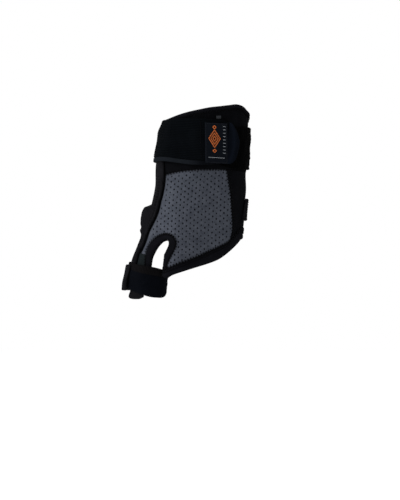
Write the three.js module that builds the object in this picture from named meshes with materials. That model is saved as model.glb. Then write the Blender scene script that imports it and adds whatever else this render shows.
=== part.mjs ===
// Thumb spica splint for a left hand: a sleeve of foam-backed cloth panels with webbing straps.
// Millimetres, +Z up. The origin is the middle of the hollow at the wrist, and the fingers point down.
// The back of the hand faces -Y and the thumb is on the -X side.
import * as THREE from "three";

// Driving dimensions of the whole
const SPLINT_WIDTH = 115;
const SPLINT_HEIGHT = 174;
const LIMB_DEPTH = 61;

// Thicknesses, measured outwards from the hollow
const WALL = 3;
const POCKET_THICKNESS = 2.8;
const STRAP_THICKNESS = 2.4;
const THUMB_STRAP_THICKNESS = 1.8;
const BINDING_PROUD = 0.6;
const PATCH_THICKNESS = 0.8;
const TAG_THICKNESS = 0.8;
const GAP = 0.3;

// Widths of what is cut from a roll
const CUFF_BINDING_WIDTH = 4;
const DISTAL_BINDING_WIDTH = 7;
const STRAP_EDGE_WIDTH = 4;
const PALM_STRAP_WIDTH = 20;

// How far a free end or a fold stands off what it lies on
const POCKET_BULGE = 2.5 * (STRAP_THICKNESS + GAP);
const THUMB_FOLD_FLARE = 2.2;
const THUMB_END_FLARE = 2.4;
const PALM_STRAP_BRIDGE = 3.0;
const PANEL_FOLD_DEPTH = 1.2;

// How softly the thumb runs into the hand
const WEB_BLEND = 7;

const toRadians = THREE.MathUtils.degToRad;
const toDegrees = THREE.MathUtils.radToDeg;
const mix = THREE.MathUtils.lerp;
const rise = THREE.MathUtils.smoothstep;

// Names the columns of a table
const table = (names, rows) => rows.map(
  (row) => Object.fromEntries(names.split(" ").map((name, index) => [name, row[index]])));

// Hollow round the forearm and the hand. Heights are shares of the splint's height, middle and half
// of its width, lean and deep of the limb's depth. Lean shears each oval towards the thumb side.
const HAND_SECTIONS = table("height middle half lean deep", [
  [-0.690, 0.004, 0.283, 0.369, 0.262],
  [-0.592, -0.002, 0.277, 0.369, 0.270],
  [-0.506, 0.000, 0.277, 0.361, 0.279],
  [-0.440, 0.003, 0.273, 0.352, 0.295],
  [-0.388, 0.007, 0.276, 0.344, 0.311],
  [-0.310, 0.012, 0.286, 0.320, 0.336],
  [-0.207, 0.010, 0.298, 0.270, 0.377],
  [-0.129, 0.010, 0.305, 0.221, 0.410],
  [-0.052, 0.002, 0.311, 0.180, 0.434],
  [0.040, 0.010, 0.310, 0.148, 0.451],
  [0.129, 0.024, 0.303, 0.123, 0.467],
  [0.233, 0.040, 0.295, 0.107, 0.484],
  [0.336, 0.053, 0.305, 0.098, 0.500],
]);

// Hollow round the thumb, from its tip up into the wrist. Middle and half are shares of the
// splint's width, back and deep of the limb's depth.
const THUMB_SECTIONS = table("height middle half back deep", [
  [-0.698, -0.424, 0.094, -0.049, 0.156],
  [-0.595, -0.422, 0.100, -0.049, 0.177],
  [-0.507, -0.400, 0.103, -0.057, 0.193],
  [-0.440, -0.352, 0.111, -0.066, 0.210],
  [-0.388, -0.315, 0.117, -0.074, 0.221],
  [-0.310, -0.259, 0.126, -0.082, 0.246],
  [-0.207, -0.208, 0.135, -0.082, 0.262],
  [-0.052, -0.157, 0.130, -0.066, 0.246],
  [0.129, -0.130, 0.113, -0.057, 0.230],
  [0.336, -0.104, 0.104, -0.049, 0.213],
]);

// Outlines as they show from the front: across in shares of the width, up in shares of the height
const POCKET_SEAM = [[-0.489, -0.458], [-0.458, -0.419], [-0.434, -0.378], [-0.415, -0.341], [-0.387, -0.305],
  [-0.360, -0.269], [-0.340, -0.233], [-0.325, -0.191], [-0.309, -0.155], [-0.297, -0.103], [-0.290, -0.052]];
const POCKET_SEAM_TOP = [[-0.290, -0.052], [-0.291, 0.010], [-0.293, 0.075], [-0.293, 0.135]];
const POCKET_SEAM_TIP = [[-0.525, -0.555], [-0.489, -0.458]];
const OPENING_TONGUE_SIDE = [[-0.442, -0.471], [-0.434, -0.440], [-0.415, -0.411], [-0.387, -0.388],
  [-0.348, -0.370], [-0.309, -0.360], [-0.278, -0.358]];
const OPENING_TONGUE_TIP = [[-0.449, -0.555], [-0.442, -0.471]];
const OPENING_RIM_TIP = [[-0.398, -0.562], [-0.386, -0.492]];
const OPENING_TONGUE_RIM = [[-0.386, -0.492], [-0.371, -0.463], [-0.345, -0.432],
  [-0.317, -0.409], [-0.296, -0.396], [-0.278, -0.391]];
const OPENING_HAND_SIDE = [[-0.290, -0.541], [-0.270, -0.504], [-0.247, -0.471], [-0.223, -0.442],
  [-0.207, -0.416], [-0.207, -0.393], [-0.227, -0.372], [-0.250, -0.362], [-0.278, -0.358]];
const OPENING_HAND_RIM = [[-0.318, -0.538], [-0.316, -0.500], [-0.301, -0.471], [-0.283, -0.442],
  [-0.266, -0.416], [-0.264, -0.399], [-0.278, -0.391]];
const OPENING_TO_CUFF = [[-0.278, -0.358], [-0.239, -0.044]];
const ULNAR_SEAM = [[0.223, -0.391], [0.239, -0.341], [0.239, -0.284], [0.231, -0.207], [0.223, -0.145],
  [0.207, -0.072], [0.192, -0.026]];
const CUFF_SEAM = [[-0.290, -0.052], [-0.215, -0.041], [-0.137, -0.034], [-0.020, -0.027], [0.098, -0.026],
  [0.192, -0.026], [0.300, -0.030]];
const CUFF_TOP = [[-0.270, 0.236], [-0.176, 0.256], [-0.098, 0.269], [-0.020, 0.279], [0.059, 0.289],
  [0.137, 0.295], [0.215, 0.302], [0.270, 0.307], [0.317, 0.301], [0.345, 0.284]];
const DISTAL_SEAM = [[-0.290, -0.541], [-0.254, -0.530], [-0.176, -0.509], [-0.098, -0.491], [-0.020, -0.471],
  [0.059, -0.447], [0.137, -0.424], [0.192, -0.406], [0.223, -0.391], [0.262, -0.358], [0.290, -0.332]];
const DISTAL_EDGE = [[-0.282, -0.586], [-0.231, -0.568], [-0.145, -0.550], [-0.051, -0.531], [0.035, -0.514],
  [0.106, -0.497], [0.153, -0.480], [0.207, -0.453], [0.262, -0.419], [0.300, -0.388]];
const PATCH_CORNERS = [[0.008, 0.008], [0.165, 0.005], [0.165, 0.210], [0.011, 0.212]];
const TAB_ROUND = [[0.192, 0.003], [0.226, 0.024], [0.250, 0.070], [0.258, 0.118], [0.243, 0.166], [0.206, 0.210],
  [0.192, 0.214]];
const TAG_CORNERS = [[0.105, 0.230], [0.140, 0.231], [0.140, 0.247], [0.105, 0.246]];

// Edges that go on round the palm side: hand angle in degrees, height in shares of the height
const CUFF_SEAM_PALM = table("angle height", [[60, -0.030], [120, -0.036], [190, -0.050]]);
const CUFF_TOP_PALM = table("angle height", [[20, 0.262], [60, 0.245], [120, 0.236], [190, 0.233]]);
const DISTAL_PALM = table("angle height", [[60, -0.388], [90, -0.408], [130, -0.450], [160, -0.486],
  [190, -0.535], [203, -0.564]]);
const THENAR_SEAM = table("height angle", [[-0.357, 158], [-0.250, 154], [-0.120, 148], [-0.030, 142]]);
const PALM_OPENING = table("height angle", [[-0.560, 206], [-0.510, 203], [-0.460, 190], [-0.420, 170],
  [-0.385, 161], [-0.357, 158]]);
const ULNAR_BACK_ANGLE = 60;

// Edges of what goes round the thumb: thumb angle in degrees, heights in shares of the height
const TONGUE_PALM_EDGE = table("height angle", [[-0.562, 158], [-0.470, 155], [-0.430, 140],
  [-0.395, 105], [-0.357, 52]]);
const THUMB_STRAP_EDGES = table("angle top bottom", [[0, -0.548, -0.652], [90, -0.537, -0.650],
  [150, -0.512, -0.634], [190, -0.511, -0.632], [225, -0.515, -0.652], [270, -0.521, -0.676],
  [300, -0.529, -0.683], [335, -0.542, -0.681], [360, -0.548, -0.652]]);
const THUMB_FOLD_EDGES = table("height near far", [[-0.645, 118, 205], [-0.585, 118, 208], [-0.525, 118, 212]]);
const THUMB_END_EDGES = table("angle top bottom", [[184, -0.600, -0.660], [194, -0.600, -0.682],
  [210, -0.600, -0.690], [236, -0.600, -0.690], [254, -0.600, -0.680]]);

// Straps round the wrist and the palm: hand angle in degrees, heights in shares of the height
const WRIST_STRAP_EDGES = table("angle top bottom", [[62, 0.228, 0.010], [130, 0.227, 0.007],
  [190, 0.225, 0.006], [215, 0.228, 0.010], [240, 0.234, 0.000], [257, 0.234, -0.004], [290, 0.227, 0.004],
  [303, 0.216, 0.008]]);
const LOOP_PANEL_EDGES = table("angle top bottom", [[272, 0.150, 0.040], [300, 0.185, 0.000],
  [330, 0.194, -0.018], [360, 0.196, -0.024], [420, 0.190, -0.018]]);
const PALM_STRAP_MIDDLE = table("angle height", [[16, -0.227], [60, -0.233], [120, -0.248], [158, -0.264], [186, -0.288]]);

// Soft folds across the grey panel: where they run, how far they reach and how deep they are
const PANEL_FOLDS = table("across height slope reach spread depth", [
  [-0.030, -0.085, 0.10, 0.150, 0.020, 1.0],
  [0.020, -0.150, -0.16, 0.140, 0.026, 0.9],
  [-0.120, -0.215, 0.45, 0.090, 0.024, 0.7],
]);

// Where a strap climbs over what lies under it, in hand degrees
const STRAP_OVER_POCKET = { start: 146, up: 160, down: 219, end: 234 };
const STRAP_OVER_LOOP = { start: 238, up: 262 };
const PALM_STRAP_OVER_WEB = { start: 130, up: 144, down: 163, end: 176 };

// Where the wrist strap comes back down above the pocket's end, in shares of the height
const STRAP_PAST_POCKET = { start: 0.150, end: 0.220 };

// How the pocket stands off the wall over the palm strap that runs under it: off is the way from the
// strap's middle line in halves of its width, share is the part of the whole bulge
const POCKET_LOBE = table("off share", [[-1.77, 0], [-1.50, 0.13], [-1.23, 0.45], [-0.99, 0.44], [-0.69, 0.69],
  [-0.42, 0.80], [-0.15, 0.90], [0.12, 0.95], [0.39, 1.00], [0.66, 0.95], [0.93, 0.80], [1.11, 0.40], [1.30, 0]]);

// Edge of the pocket on the palm side in thumb degrees, the share of its bulge that is open there, and
// how far from that edge and from the seam the bulge is full and comes down to the wall
const POCKET_PALM_ANGLE = 158;
const POCKET_BULGE_TURN = { mouth: 0.47, full: 20, down: 26, end: 3 };

// Where the rounded end of the thumb strap stands off below the strap: shares of the height, thumb degrees
const THUMB_END_LIFT = { start: -0.646, full: -0.684, turn: 206, end: 232 };

// Where the thumb strap climbs over the tongue's end, in thumb degrees
const THUMB_STRAP_OVER_TONGUE = { start: 128, up: 146, down: 246, end: 292 };

// Reads a column of a table smoothly. The key column rises from row to row.
function follow(rows, key, column, at) {
  const last = rows.length - 1;
  let index = 0;
  while (index < last - 1 && at > rows[index + 1][key]) index += 1;
  const slope = (row) => {
    const before = rows[Math.max(0, row - 1)];
    const after = rows[Math.min(last, row + 1)];
    return (after[column] - before[column]) / (after[key] - before[key]);
  };
  const here = rows[index];
  const next = rows[index + 1];
  const step = next[key] - here[key];
  const t = THREE.MathUtils.clamp((at - here[key]) / step, 0, 1);
  const t2 = t * t;
  const t3 = t2 * t;
  return (2 * t3 - 3 * t2 + 1) * here[column] + (t3 - 2 * t2 + t) * step * slope(index)
    + (3 * t2 - 2 * t3) * next[column] + (t3 - t2) * step * slope(index + 1);
}

// The hollow's sections in millimetres at a height
function handSection(z) {
  const read = (column) => follow(HAND_SECTIONS, "height", column, z / SPLINT_HEIGHT);
  return {
    x: read("middle") * SPLINT_WIDTH, half: read("half") * SPLINT_WIDTH,
    lean: read("lean") * LIMB_DEPTH, deep: read("deep") * LIMB_DEPTH,
  };
}

function thumbSection(z) {
  const read = (column) => follow(THUMB_SECTIONS, "height", column, z / SPLINT_HEIGHT);
  return {
    x: read("middle") * SPLINT_WIDTH, half: read("half") * SPLINT_WIDTH,
    y: read("back") * LIMB_DEPTH, deep: read("deep") * LIMB_DEPTH,
  };
}

// Below zero inside the hollow: the hand's leaning oval and the thumb's oval, joined with a soft web
function hollow(x, y, z) {
  const hand = handSection(z);
  const across = (x - hand.x) / hand.half;
  const through = (y - hand.lean * across) / hand.deep;
  const fromHand = (Math.hypot(across, through) - 1) * Math.min(hand.half, hand.deep);
  const thumb = thumbSection(z);
  const fromThumb = (Math.hypot((x - thumb.x) / thumb.half, (y - thumb.y) / thumb.deep) - 1) * thumb.half;
  const share = THREE.MathUtils.clamp(0.5 + 0.5 * (fromThumb - fromHand) / WEB_BLEND, 0, 1);
  return mix(fromThumb, fromHand, share) - WEB_BLEND * share * (1 - share);
}

// Two ways of naming a place on the hollow: by its angle round the hand or round the thumb
const HAND = { middle: (z) => new THREE.Vector2(handSection(z).x, 0) };
const THUMB = { middle: (z) => new THREE.Vector2(thumbSection(z).x, thumbSection(z).y) };

// A post stands on the hollow and points straight out of it
const MARCH = 2;
const PROBE = 0.2;
const FOOT_HALVINGS = 24;
function post(chart, angle, z) {
  const middle = chart.middle(z);
  const way = new THREE.Vector2(Math.cos(toRadians(angle)), Math.sin(toRadians(angle)));
  const inside = (far) => hollow(middle.x + way.x * far, middle.y + way.y * far, z) < 0;
  let high = MARCH;
  while (inside(high)) high += MARCH;
  let low = high - MARCH;
  for (let turn = 0; turn < FOOT_HALVINGS; turn += 1) {
    const half = (low + high) / 2;
    if (inside(half)) low = half;
    else high = half;
  }
  const foot = new THREE.Vector3(middle.x + way.x * low, middle.y + way.y * low, z);
  const change = (x, y, up) => hollow(foot.x + x, foot.y + y, z + up) - hollow(foot.x - x, foot.y - y, z - up);
  const out = new THREE.Vector3(change(PROBE, 0, 0), change(0, PROBE, 0), change(0, 0, PROBE)).normalize();
  return { foot, out, angle, z, far: low };
}
const reach = (stake, distance) => stake.foot.clone().addScaledVector(stake.out, distance);

// Angle, from 0 to 360 degrees, at which a chart sees a foot that another chart found
function angleOf(chart, foot) {
  const middle = chart.middle(foot.z);
  return (toDegrees(Math.atan2(foot.y - middle.y, foot.x - middle.x)) + 360) % 360;
}

// Finds the place on the outer face that shows at x and z from the front
const FRONT_SIDE = { left: [168, 250], right: [330, 410], step: 6, halvings: 18 };
function seen(chart, x, z) {
  const shownAt = (angle) => {
    let height = z;
    let point;
    for (let turn = 0; turn < 3; turn += 1) {
      point = reach(post(chart, angle, height), WALL);
      height += z - point.z;
    }
    return { angle, z: height, x: point.x };
  };
  const extreme = ([from, to], sign) => {
    let best = { x: -sign * Infinity };
    for (let angle = from; angle <= to; angle += FRONT_SIDE.step) {
      const spot = shownAt(angle);
      if (sign * spot.x > sign * best.x) best = spot;
    }
    return best;
  };
  let low = extreme(FRONT_SIDE.left, -1);
  let high = extreme(FRONT_SIDE.right, 1);
  if (x <= low.x) return low;
  if (x >= high.x) return high;
  for (let turn = 0; turn < FRONT_SIDE.halvings; turn += 1) {
    const half = shownAt((low.angle + high.angle) / 2);
    if (half.x < x) low = half;
    else high = half;
  }
  return low;
}

// Evenly spaced points along a hand-picked outline, in millimetres
function trace(outline, steps) {
  const points = outline.map(([across, up]) => new THREE.Vector2(across * SPLINT_WIDTH, up * SPLINT_HEIGHT));
  return new THREE.SplineCurve(points).getSpacedPoints(steps);
}
const seenAlong = (chart, outline, steps) => trace(outline, steps).map(({ x, y }) => seen(chart, x, y));

// A height for every hand angle, from a front outline and the rows that carry it round the palm side
const AROUND_STEPS = 28;
function around(front, palmRows) {
  const spots = seenAlong(HAND, front, AROUND_STEPS).map(({ angle, z }) => ({ angle, z }));
  for (const row of palmRows) spots.push({ angle: row.angle + 360, z: row.height * SPLINT_HEIGHT });
  spots.push({ ...spots[0], angle: spots[0].angle + 360 });
  const first = spots[0].angle;
  return (angle) => follow(spots, "angle", "z", first + THREE.MathUtils.euclideanModulo(angle - first, 360));
}
const cuffSeam = around(CUFF_SEAM, CUFF_SEAM_PALM);
const cuffTop = around(CUFF_TOP, CUFF_TOP_PALM);
const raised = (rows, by) => rows.map(({ angle, height }) => ({ angle, height: height + by / SPLINT_HEIGHT }));
const distalEdge = around(DISTAL_EDGE, DISTAL_PALM);
const distalSeam = around(DISTAL_SEAM, raised(DISTAL_PALM, DISTAL_BINDING_WIDTH));

// Moves a place along the surface by a few tenths, so that two pieces keep their gap
const aside = (chart, spot, distance) => (
  { angle: spot.angle + toDegrees(distance / post(chart, spot.angle, spot.z).far), z: spot.z });

// Fills four edges of places with a grid of places, row by row from the bottom
function fill(bottom, top, left, right) {
  const columns = bottom.length - 1;
  const rows = left.length - 1;
  const blend = (key, i, j) => {
    const u = i / columns;
    const v = j / rows;
    return mix(bottom[i][key], top[i][key], v) + mix(left[j][key], right[j][key], u)
      - mix(mix(bottom[0][key], bottom[columns][key], u), mix(top[0][key], top[columns][key], u), v);
  };
  return left.map((_, j) => bottom.map((__, i) => ({ angle: blend("angle", i, j), z: blend("z", i, j) })));
}
const plant = (chart, grid) => grid.map((row) => row.map(({ angle, z }) => post(chart, angle, z)));

// Places between two angles, at a height that depends on the angle. They stand closer together
// where the surface turns, so that each step costs the same way and the same turn.
const TURN_COST = 14;
function run(chart, from, to, steps, height) {
  const fine = steps * 4;
  const angles = Array.from({ length: fine + 1 }, (_, i) => mix(from, to, i / fine));
  const stakes = angles.map((angle) => post(chart, angle, height(angle)));
  const costs = [0];
  for (let i = 1; i <= fine; i += 1) {
    const way = stakes[i].foot.distanceTo(stakes[i - 1].foot);
    const turn = stakes[i].out.distanceTo(stakes[i - 1].out);
    costs.push(costs[i - 1] + way + TURN_COST * turn);
  }
  const spots = [];
  let at = 0;
  for (let step = 0; step <= steps; step += 1) {
    const goal = costs[fine] * step / steps;
    while (at < fine - 1 && costs[at + 1] < goal) at += 1;
    const angle = mix(angles[at], angles[at + 1], (goal - costs[at]) / (costs[at + 1] - costs[at]));
    spots.push({ angle, z: height(angle) });
  }
  return spots;
}
// Places on the straight way between two places
const straight = (from, to, steps) => Array.from({ length: steps + 1 }, (_, i) => (
  { angle: mix(from.angle, to.angle, i / steps), z: mix(from.z, to.z, i / steps) }));

// A grid between two edges, which closes on itself when it goes all the way round
function band(chart, from, to, columns, rows, low, high) {
  const angles = run(chart, from, to, columns, (angle) => mix(low(angle), high(angle), 0.5));
  const posts = plant(chart, Array.from({ length: rows + 1 }, (_, j) => (
    angles.map(({ angle }) => ({ angle, z: mix(low(angle), high(angle), j / rows) })))));
  if (to - from === 360) posts.forEach((row) => { row[columns] = row[0]; });
  return posts;
}

// One closed wall over grids of posts that share their common posts
function wall(grids, inner, outer) {
  const numbers = new Map();
  const number = (stake) => {
    if (!numbers.has(stake)) numbers.set(stake, numbers.size);
    return numbers.get(stake);
  };
  const faces = [];
  for (const grid of grids) {
    for (let j = 0; j + 1 < grid.length; j += 1) {
      for (let i = 0; i + 1 < grid[j].length; i += 1) {
        const [a, b, c, d] = [grid[j][i], grid[j][i + 1], grid[j + 1][i + 1], grid[j + 1][i]].map(number);
        faces.push([a, b, c], [a, c, d]);
      }
    }
  }
  const stakes = [...numbers.keys()];
  const under = stakes.length;
  const edges = new Set(faces.flatMap(([a, b, c]) => [`${a} ${b}`, `${b} ${c}`, `${c} ${a}`]));
  const index = faces.flatMap(([a, b, c]) => [a, b, c, a + under, c + under, b + under]);
  for (const edge of edges) {
    const [a, b] = edge.split(" ").map(Number);
    if (!edges.has(`${b} ${a}`)) index.push(b, a, a + under, b, a + under, b + under);
  }
  const points = [...stakes.map((stake) => reach(stake, outer(stake))),
    ...stakes.map((stake) => reach(stake, inner(stake)))];
  return new THREE.BufferGeometry().setFromPoints(points).setIndex(index);
}
const flat = (distance) => () => distance;

// Layers, counted outwards from the hollow
const OVER_WALL = WALL + GAP;
const OVER_POCKET = OVER_WALL + POCKET_THICKNESS + GAP;
const OVER_LOOP = OVER_WALL + STRAP_THICKNESS + GAP;
const topOf = (bottom, thickness) => (stake) => bottom(stake) + thickness;
const strapTop = (bottom) => topOf(bottom, STRAP_THICKNESS);

// Materials
const cloth = (color, roughness = 0.9) => new THREE.MeshStandardMaterial({ color, roughness, metalness: 0 });
const GREY_MESH = 0x565b64;
const BLACK_KNIT = 0x0c0d10;
const BLACK_LOOP = 0x050506;
const BLACK_WEBBING = 0x1d1c1f;
const NAVY_LOOP = 0x0a0d16;
const PALE_GREY = 0x6f747c;
const ORANGE = 0xb5602f;

const splint = new THREE.Group();
function piece(name, geometry, color, roughness) {
  geometry.computeVertexNormals();
  const mesh = new THREE.Mesh(geometry, cloth(color, roughness));
  mesh.name = name;
  splint.add(mesh);
}

// Columns of posts round the cuff and along the wrist strap, and rows along the panels' seams
const CUFF_COLUMNS = 36;
const WRIST_STRAP_COLUMNS = 30;
const LEG_ROWS = 11;
const TONGUE_ROWS = 5;
const TRUNK_ROWS = 12;

// The seams that the panels share
const handLeg = seenAlong(HAND, OPENING_HAND_SIDE, LEG_ROWS);
const overOpening = seenAlong(HAND, OPENING_TO_CUFF, TRUNK_ROWS);
const topOfSeam = (chart, { angle, z }) => ({ angle, z: cuffSeam(angleOf(HAND, post(chart, angle, z).foot)) });
overOpening[TRUNK_ROWS] = topOfSeam(HAND, overOpening[TRUNK_ROWS]);
const ulnarSeam = seenAlong(HAND, ULNAR_SEAM, LEG_ROWS + TRUNK_ROWS);
ulnarSeam[0].z = distalSeam(ulnarSeam[0].angle);
ulnarSeam[LEG_ROWS + TRUNK_ROWS].z = cuffSeam(ulnarSeam[LEG_ROWS + TRUNK_ROWS].angle);
const pocketSeam = seenAlong(THUMB, POCKET_SEAM, TONGUE_ROWS + TRUNK_ROWS);
pocketSeam[TONGUE_ROWS + TRUNK_ROWS] = topOfSeam(THUMB, pocketSeam[TONGUE_ROWS + TRUNK_ROWS]);
const tongueLeg = seenAlong(THUMB, OPENING_TONGUE_SIDE, TONGUE_ROWS);

// The panels' lower edges, from the opening round the little finger and the palm to the web
const meshBottom = run(HAND, handLeg[0].angle, aside(HAND, ulnarSeam[0], -GAP / 2).angle, 14, distalSeam);
const ulnarBottom = run(HAND, aside(HAND, ulnarSeam[0], GAP / 2).angle, 360 + ULNAR_BACK_ANGLE, 14, distalSeam);
const palmFrom = ULNAR_BACK_ANGLE + toDegrees(GAP / handSection(0).deep);
const palmBottom = run(HAND, 360 + palmFrom, 360 + PALM_OPENING[0].angle, 18, distalSeam);

// Depth of the grey panel's soft folds at a post
function foldDepth(stake) {
  return PANEL_FOLDS.reduce((sum, fold) => {
    const along = stake.foot.x / SPLINT_WIDTH - fold.across;
    const off = stake.foot.z / SPLINT_HEIGHT - fold.height - fold.slope * along;
    return sum + fold.depth * Math.exp(-((along / fold.reach) ** 2) - (off / fold.spread) ** 2);
  }, 0) * PANEL_FOLD_DEPTH;
}

function meshPanel() {
  const columns = meshBottom.length - 1;
  const left = [...handLeg.slice(0, LEG_ROWS), ...overOpening];
  const right = ulnarSeam.map((spot) => aside(HAND, spot, -GAP / 2));
  const bottom = [...meshBottom];
  const top = run(HAND, left.at(-1).angle, right.at(-1).angle, columns, (angle) => cuffSeam(angle) - GAP);
  left[0] = bottom[0];
  left[left.length - 1] = top[0];
  right[0] = bottom[columns];
  right[right.length - 1] = top[columns];
  const back = plant(HAND, fill(bottom, top, left, right));

  const shared = back.slice(LEG_ROWS).map((row) => row[0]);
  const tongueColumns = 3;
  const inHand = shared.map(({ foot }) => ({ angle: angleOf(THUMB, foot), z: foot.z }));
  const seamSide = pocketSeam.map((spot) => aside(THUMB, spot, GAP / 2));
  const openingSide = [...tongueLeg.slice(0, TONGUE_ROWS), ...inHand];
  const cuffSide = straight(seamSide.at(-1), openingSide.at(-1), tongueColumns)
    .map((spot) => topOfSeam(THUMB, spot));
  cuffSide.forEach((spot) => { spot.z -= GAP; });
  seamSide[seamSide.length - 1] = cuffSide[0];
  openingSide[openingSide.length - 1] = cuffSide[tongueColumns];
  const end = straight(seamSide[0], openingSide[0], tongueColumns);
  const tongue = plant(THUMB, fill(end, cuffSide, seamSide, openingSide));
  shared.forEach((stake, row) => { tongue[TONGUE_ROWS + row][tongueColumns] = stake; });
  return wall([tongue, back], flat(0), (stake) => WALL - foldDepth(stake));
}

function ulnarPanel() {
  const columns = ulnarBottom.length - 1;
  const left = ulnarSeam.map((spot) => aside(HAND, spot, GAP / 2));
  const to = 360 + ULNAR_BACK_ANGLE;
  const bottom = [...ulnarBottom];
  const top = run(HAND, left.at(-1).angle, to, columns, (angle) => cuffSeam(angle) - GAP);
  const right = straight(bottom[columns], top[columns], left.length - 1);
  left[0] = bottom[0];
  left[left.length - 1] = top[0];
  return wall([plant(HAND, fill(bottom, top, left, right))], flat(0), flat(WALL));
}

// Edge of the palm panel on the thumb side: the opening's edge below, the seam to the thenar panel above
function palmThumbEdge(rowsBelow, rowsAbove) {
  const below = Array.from({ length: rowsBelow }, (_, row) => {
    const height = mix(PALM_OPENING[0].height, PALM_OPENING.at(-1).height, row / rowsBelow);
    return { angle: follow(PALM_OPENING, "height", "angle", height), z: height * SPLINT_HEIGHT };
  });
  const above = Array.from({ length: rowsAbove + 1 }, (_, row) => {
    const height = mix(THENAR_SEAM[0].height, THENAR_SEAM.at(-1).height, row / rowsAbove);
    return { angle: follow(THENAR_SEAM, "height", "angle", height), z: height * SPLINT_HEIGHT };
  });
  return { below, above };
}
const PALM_ROWS = { below: 6, above: 10 };

function palmPanel() {
  const columns = palmBottom.length - 1;
  const { below, above } = palmThumbEdge(PALM_ROWS.below, PALM_ROWS.above);
  const right = [...below, ...above];
  const bottom = palmBottom.map(({ angle, z }) => ({ angle: angle - 360, z }));
  const top = run(HAND, palmFrom, right.at(-1).angle, columns, (angle) => cuffSeam(angle) - GAP);
  right[0] = bottom[columns];
  right[right.length - 1] = top[columns];
  const left = straight(bottom[0], top[0], right.length - 1);
  return wall([plant(HAND, fill(bottom, top, left, right))], flat(0), flat(WALL));
}

// Edge of the thenar panel on the palm side, level with a place on its other edge
function thenarPalmEdge({ z }) {
  const height = z / SPLINT_HEIGHT;
  if (height < THENAR_SEAM[0].height) return { angle: follow(TONGUE_PALM_EDGE, "height", "angle", height), z };
  const seam = aside(HAND, { angle: follow(THENAR_SEAM, "height", "angle", height), z }, GAP);
  return { angle: angleOf(THUMB, post(HAND, seam.angle, z).foot), z };
}

function thenarPanel() {
  const columns = 8;
  const tip = seenAlong(THUMB, POCKET_SEAM_TIP, 2).slice(0, 2);
  const right = [...tip, ...pocketSeam].map((spot) => aside(THUMB, spot, -GAP));
  const left = right.map(thenarPalmEdge);
  const across = (row) => straight(left.at(row), right.at(row), columns);
  const top = across(-1).map((spot) => topOfSeam(THUMB, spot)).map(({ angle, z }) => ({ angle, z: z - GAP }));
  left[left.length - 1] = top[0];
  right[right.length - 1] = top[columns];
  return wall([plant(THUMB, fill(across(0), top, left, right))], flat(0), flat(WALL));
}

function cuffPanel() {
  const top = (angle) => cuffTop(angle) - CUFF_BINDING_WIDTH - GAP;
  return wall([band(HAND, 0, 360, CUFF_COLUMNS, 6, cuffSeam, top)], flat(0), flat(WALL));
}

function cuffBinding() {
  return wall([band(HAND, 0, 360, CUFF_COLUMNS, 1, (angle) => cuffTop(angle) - CUFF_BINDING_WIDTH, cuffTop)],
    flat(-BINDING_PROUD), flat(WALL + BINDING_PROUD));
}

// The binding has a column below each column of the panels, and a few more through the web
function distalBinding() {
  const panels = [...meshBottom, ...ulnarBottom, ...palmBottom].map(({ angle }) => angle);
  const web = [0.25, 0.5, 0.75].map((share) => mix(panels.at(-1), panels[0] + 360, share));
  const angles = [...panels, ...web, panels[0] + 360];
  const lines = [distalEdge, (angle) => distalSeam(angle) - GAP];
  const posts = plant(HAND, lines.map((line) => angles.map((angle) => ({ angle, z: line(angle) }))));
  posts.forEach((row) => { row[row.length - 1] = row[0]; });
  return wall([posts], flat(-BINDING_PROUD), flat(WALL + BINDING_PROUD));
}

// The bound edge of the U-shaped opening, from the tongue's end over the top to the web
function thumbOpeningBinding() {
  const posts = (chart, side, rim, steps) => {
    const outline = trace(side, steps);
    const edge = trace(rim, steps);
    return outline.map((point, index) => {
      const clear = point.clone().lerp(edge[index], GAP / point.distanceTo(edge[index]));
      const [outside, inside] = [clear, edge[index]].map(({ x, y }) => seen(chart, x, y));
      return [inside, outside].map(({ angle, z }) => post(chart, angle, z));
    });
  };
  const tongue = posts(THUMB, OPENING_TONGUE_SIDE, OPENING_TONGUE_RIM, TONGUE_ROWS);
  const hand = posts(HAND, OPENING_HAND_SIDE, OPENING_HAND_RIM, LEG_ROWS).reverse();
  const [tip] = posts(THUMB, OPENING_TONGUE_TIP, OPENING_RIM_TIP, 1);
  const columns = [tip, ...tongue.slice(0, -1), ...hand];
  const grid = [0, 1].map((row) => columns.map((column) => column[row]));
  return wall([grid], flat(-BINDING_PROUD), flat(WALL + BINDING_PROUD));
}

// The palm strap's middle line, and how far the pocket stands off where the strap runs under it
const palmStrapMiddle = (angle) => follow(PALM_STRAP_MIDDLE, "angle", "height", angle) * SPLINT_HEIGHT;
function pocketBulge({ angle, z }, seamAngle) {
  const off = (z - palmStrapMiddle(PALM_STRAP_MIDDLE.at(-1).angle)) / (PALM_STRAP_WIDTH / 2);
  const { mouth, full, down, end } = POCKET_BULGE_TURN;
  const most = mix(mouth, 1, rise(angle - POCKET_PALM_ANGLE, 0, full)) * rise(seamAngle - angle, end, down);
  return POCKET_BULGE * THREE.MathUtils.clamp(follow(POCKET_LOBE, "off", "share", off), 0, most);
}

function radialStayPocket() {
  const [rows, columns] = [40, 7];
  const seam = seenAlong(THUMB, [POCKET_SEAM_TIP[0], ...POCKET_SEAM, ...POCKET_SEAM_TOP.slice(1)], rows);
  const palmSide = seam.map(({ z }) => ({ angle: POCKET_PALM_ANGLE, z }));
  const across = (row) => straight(palmSide.at(row), seam.at(row), columns);
  const bottom = (stake) => OVER_WALL + pocketBulge(stake, follow(seam, "z", "angle", stake.z));
  return wall([plant(THUMB, fill(across(0), across(-1), palmSide, seam))],
    bottom, topOf(bottom, POCKET_THICKNESS));
}

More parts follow.
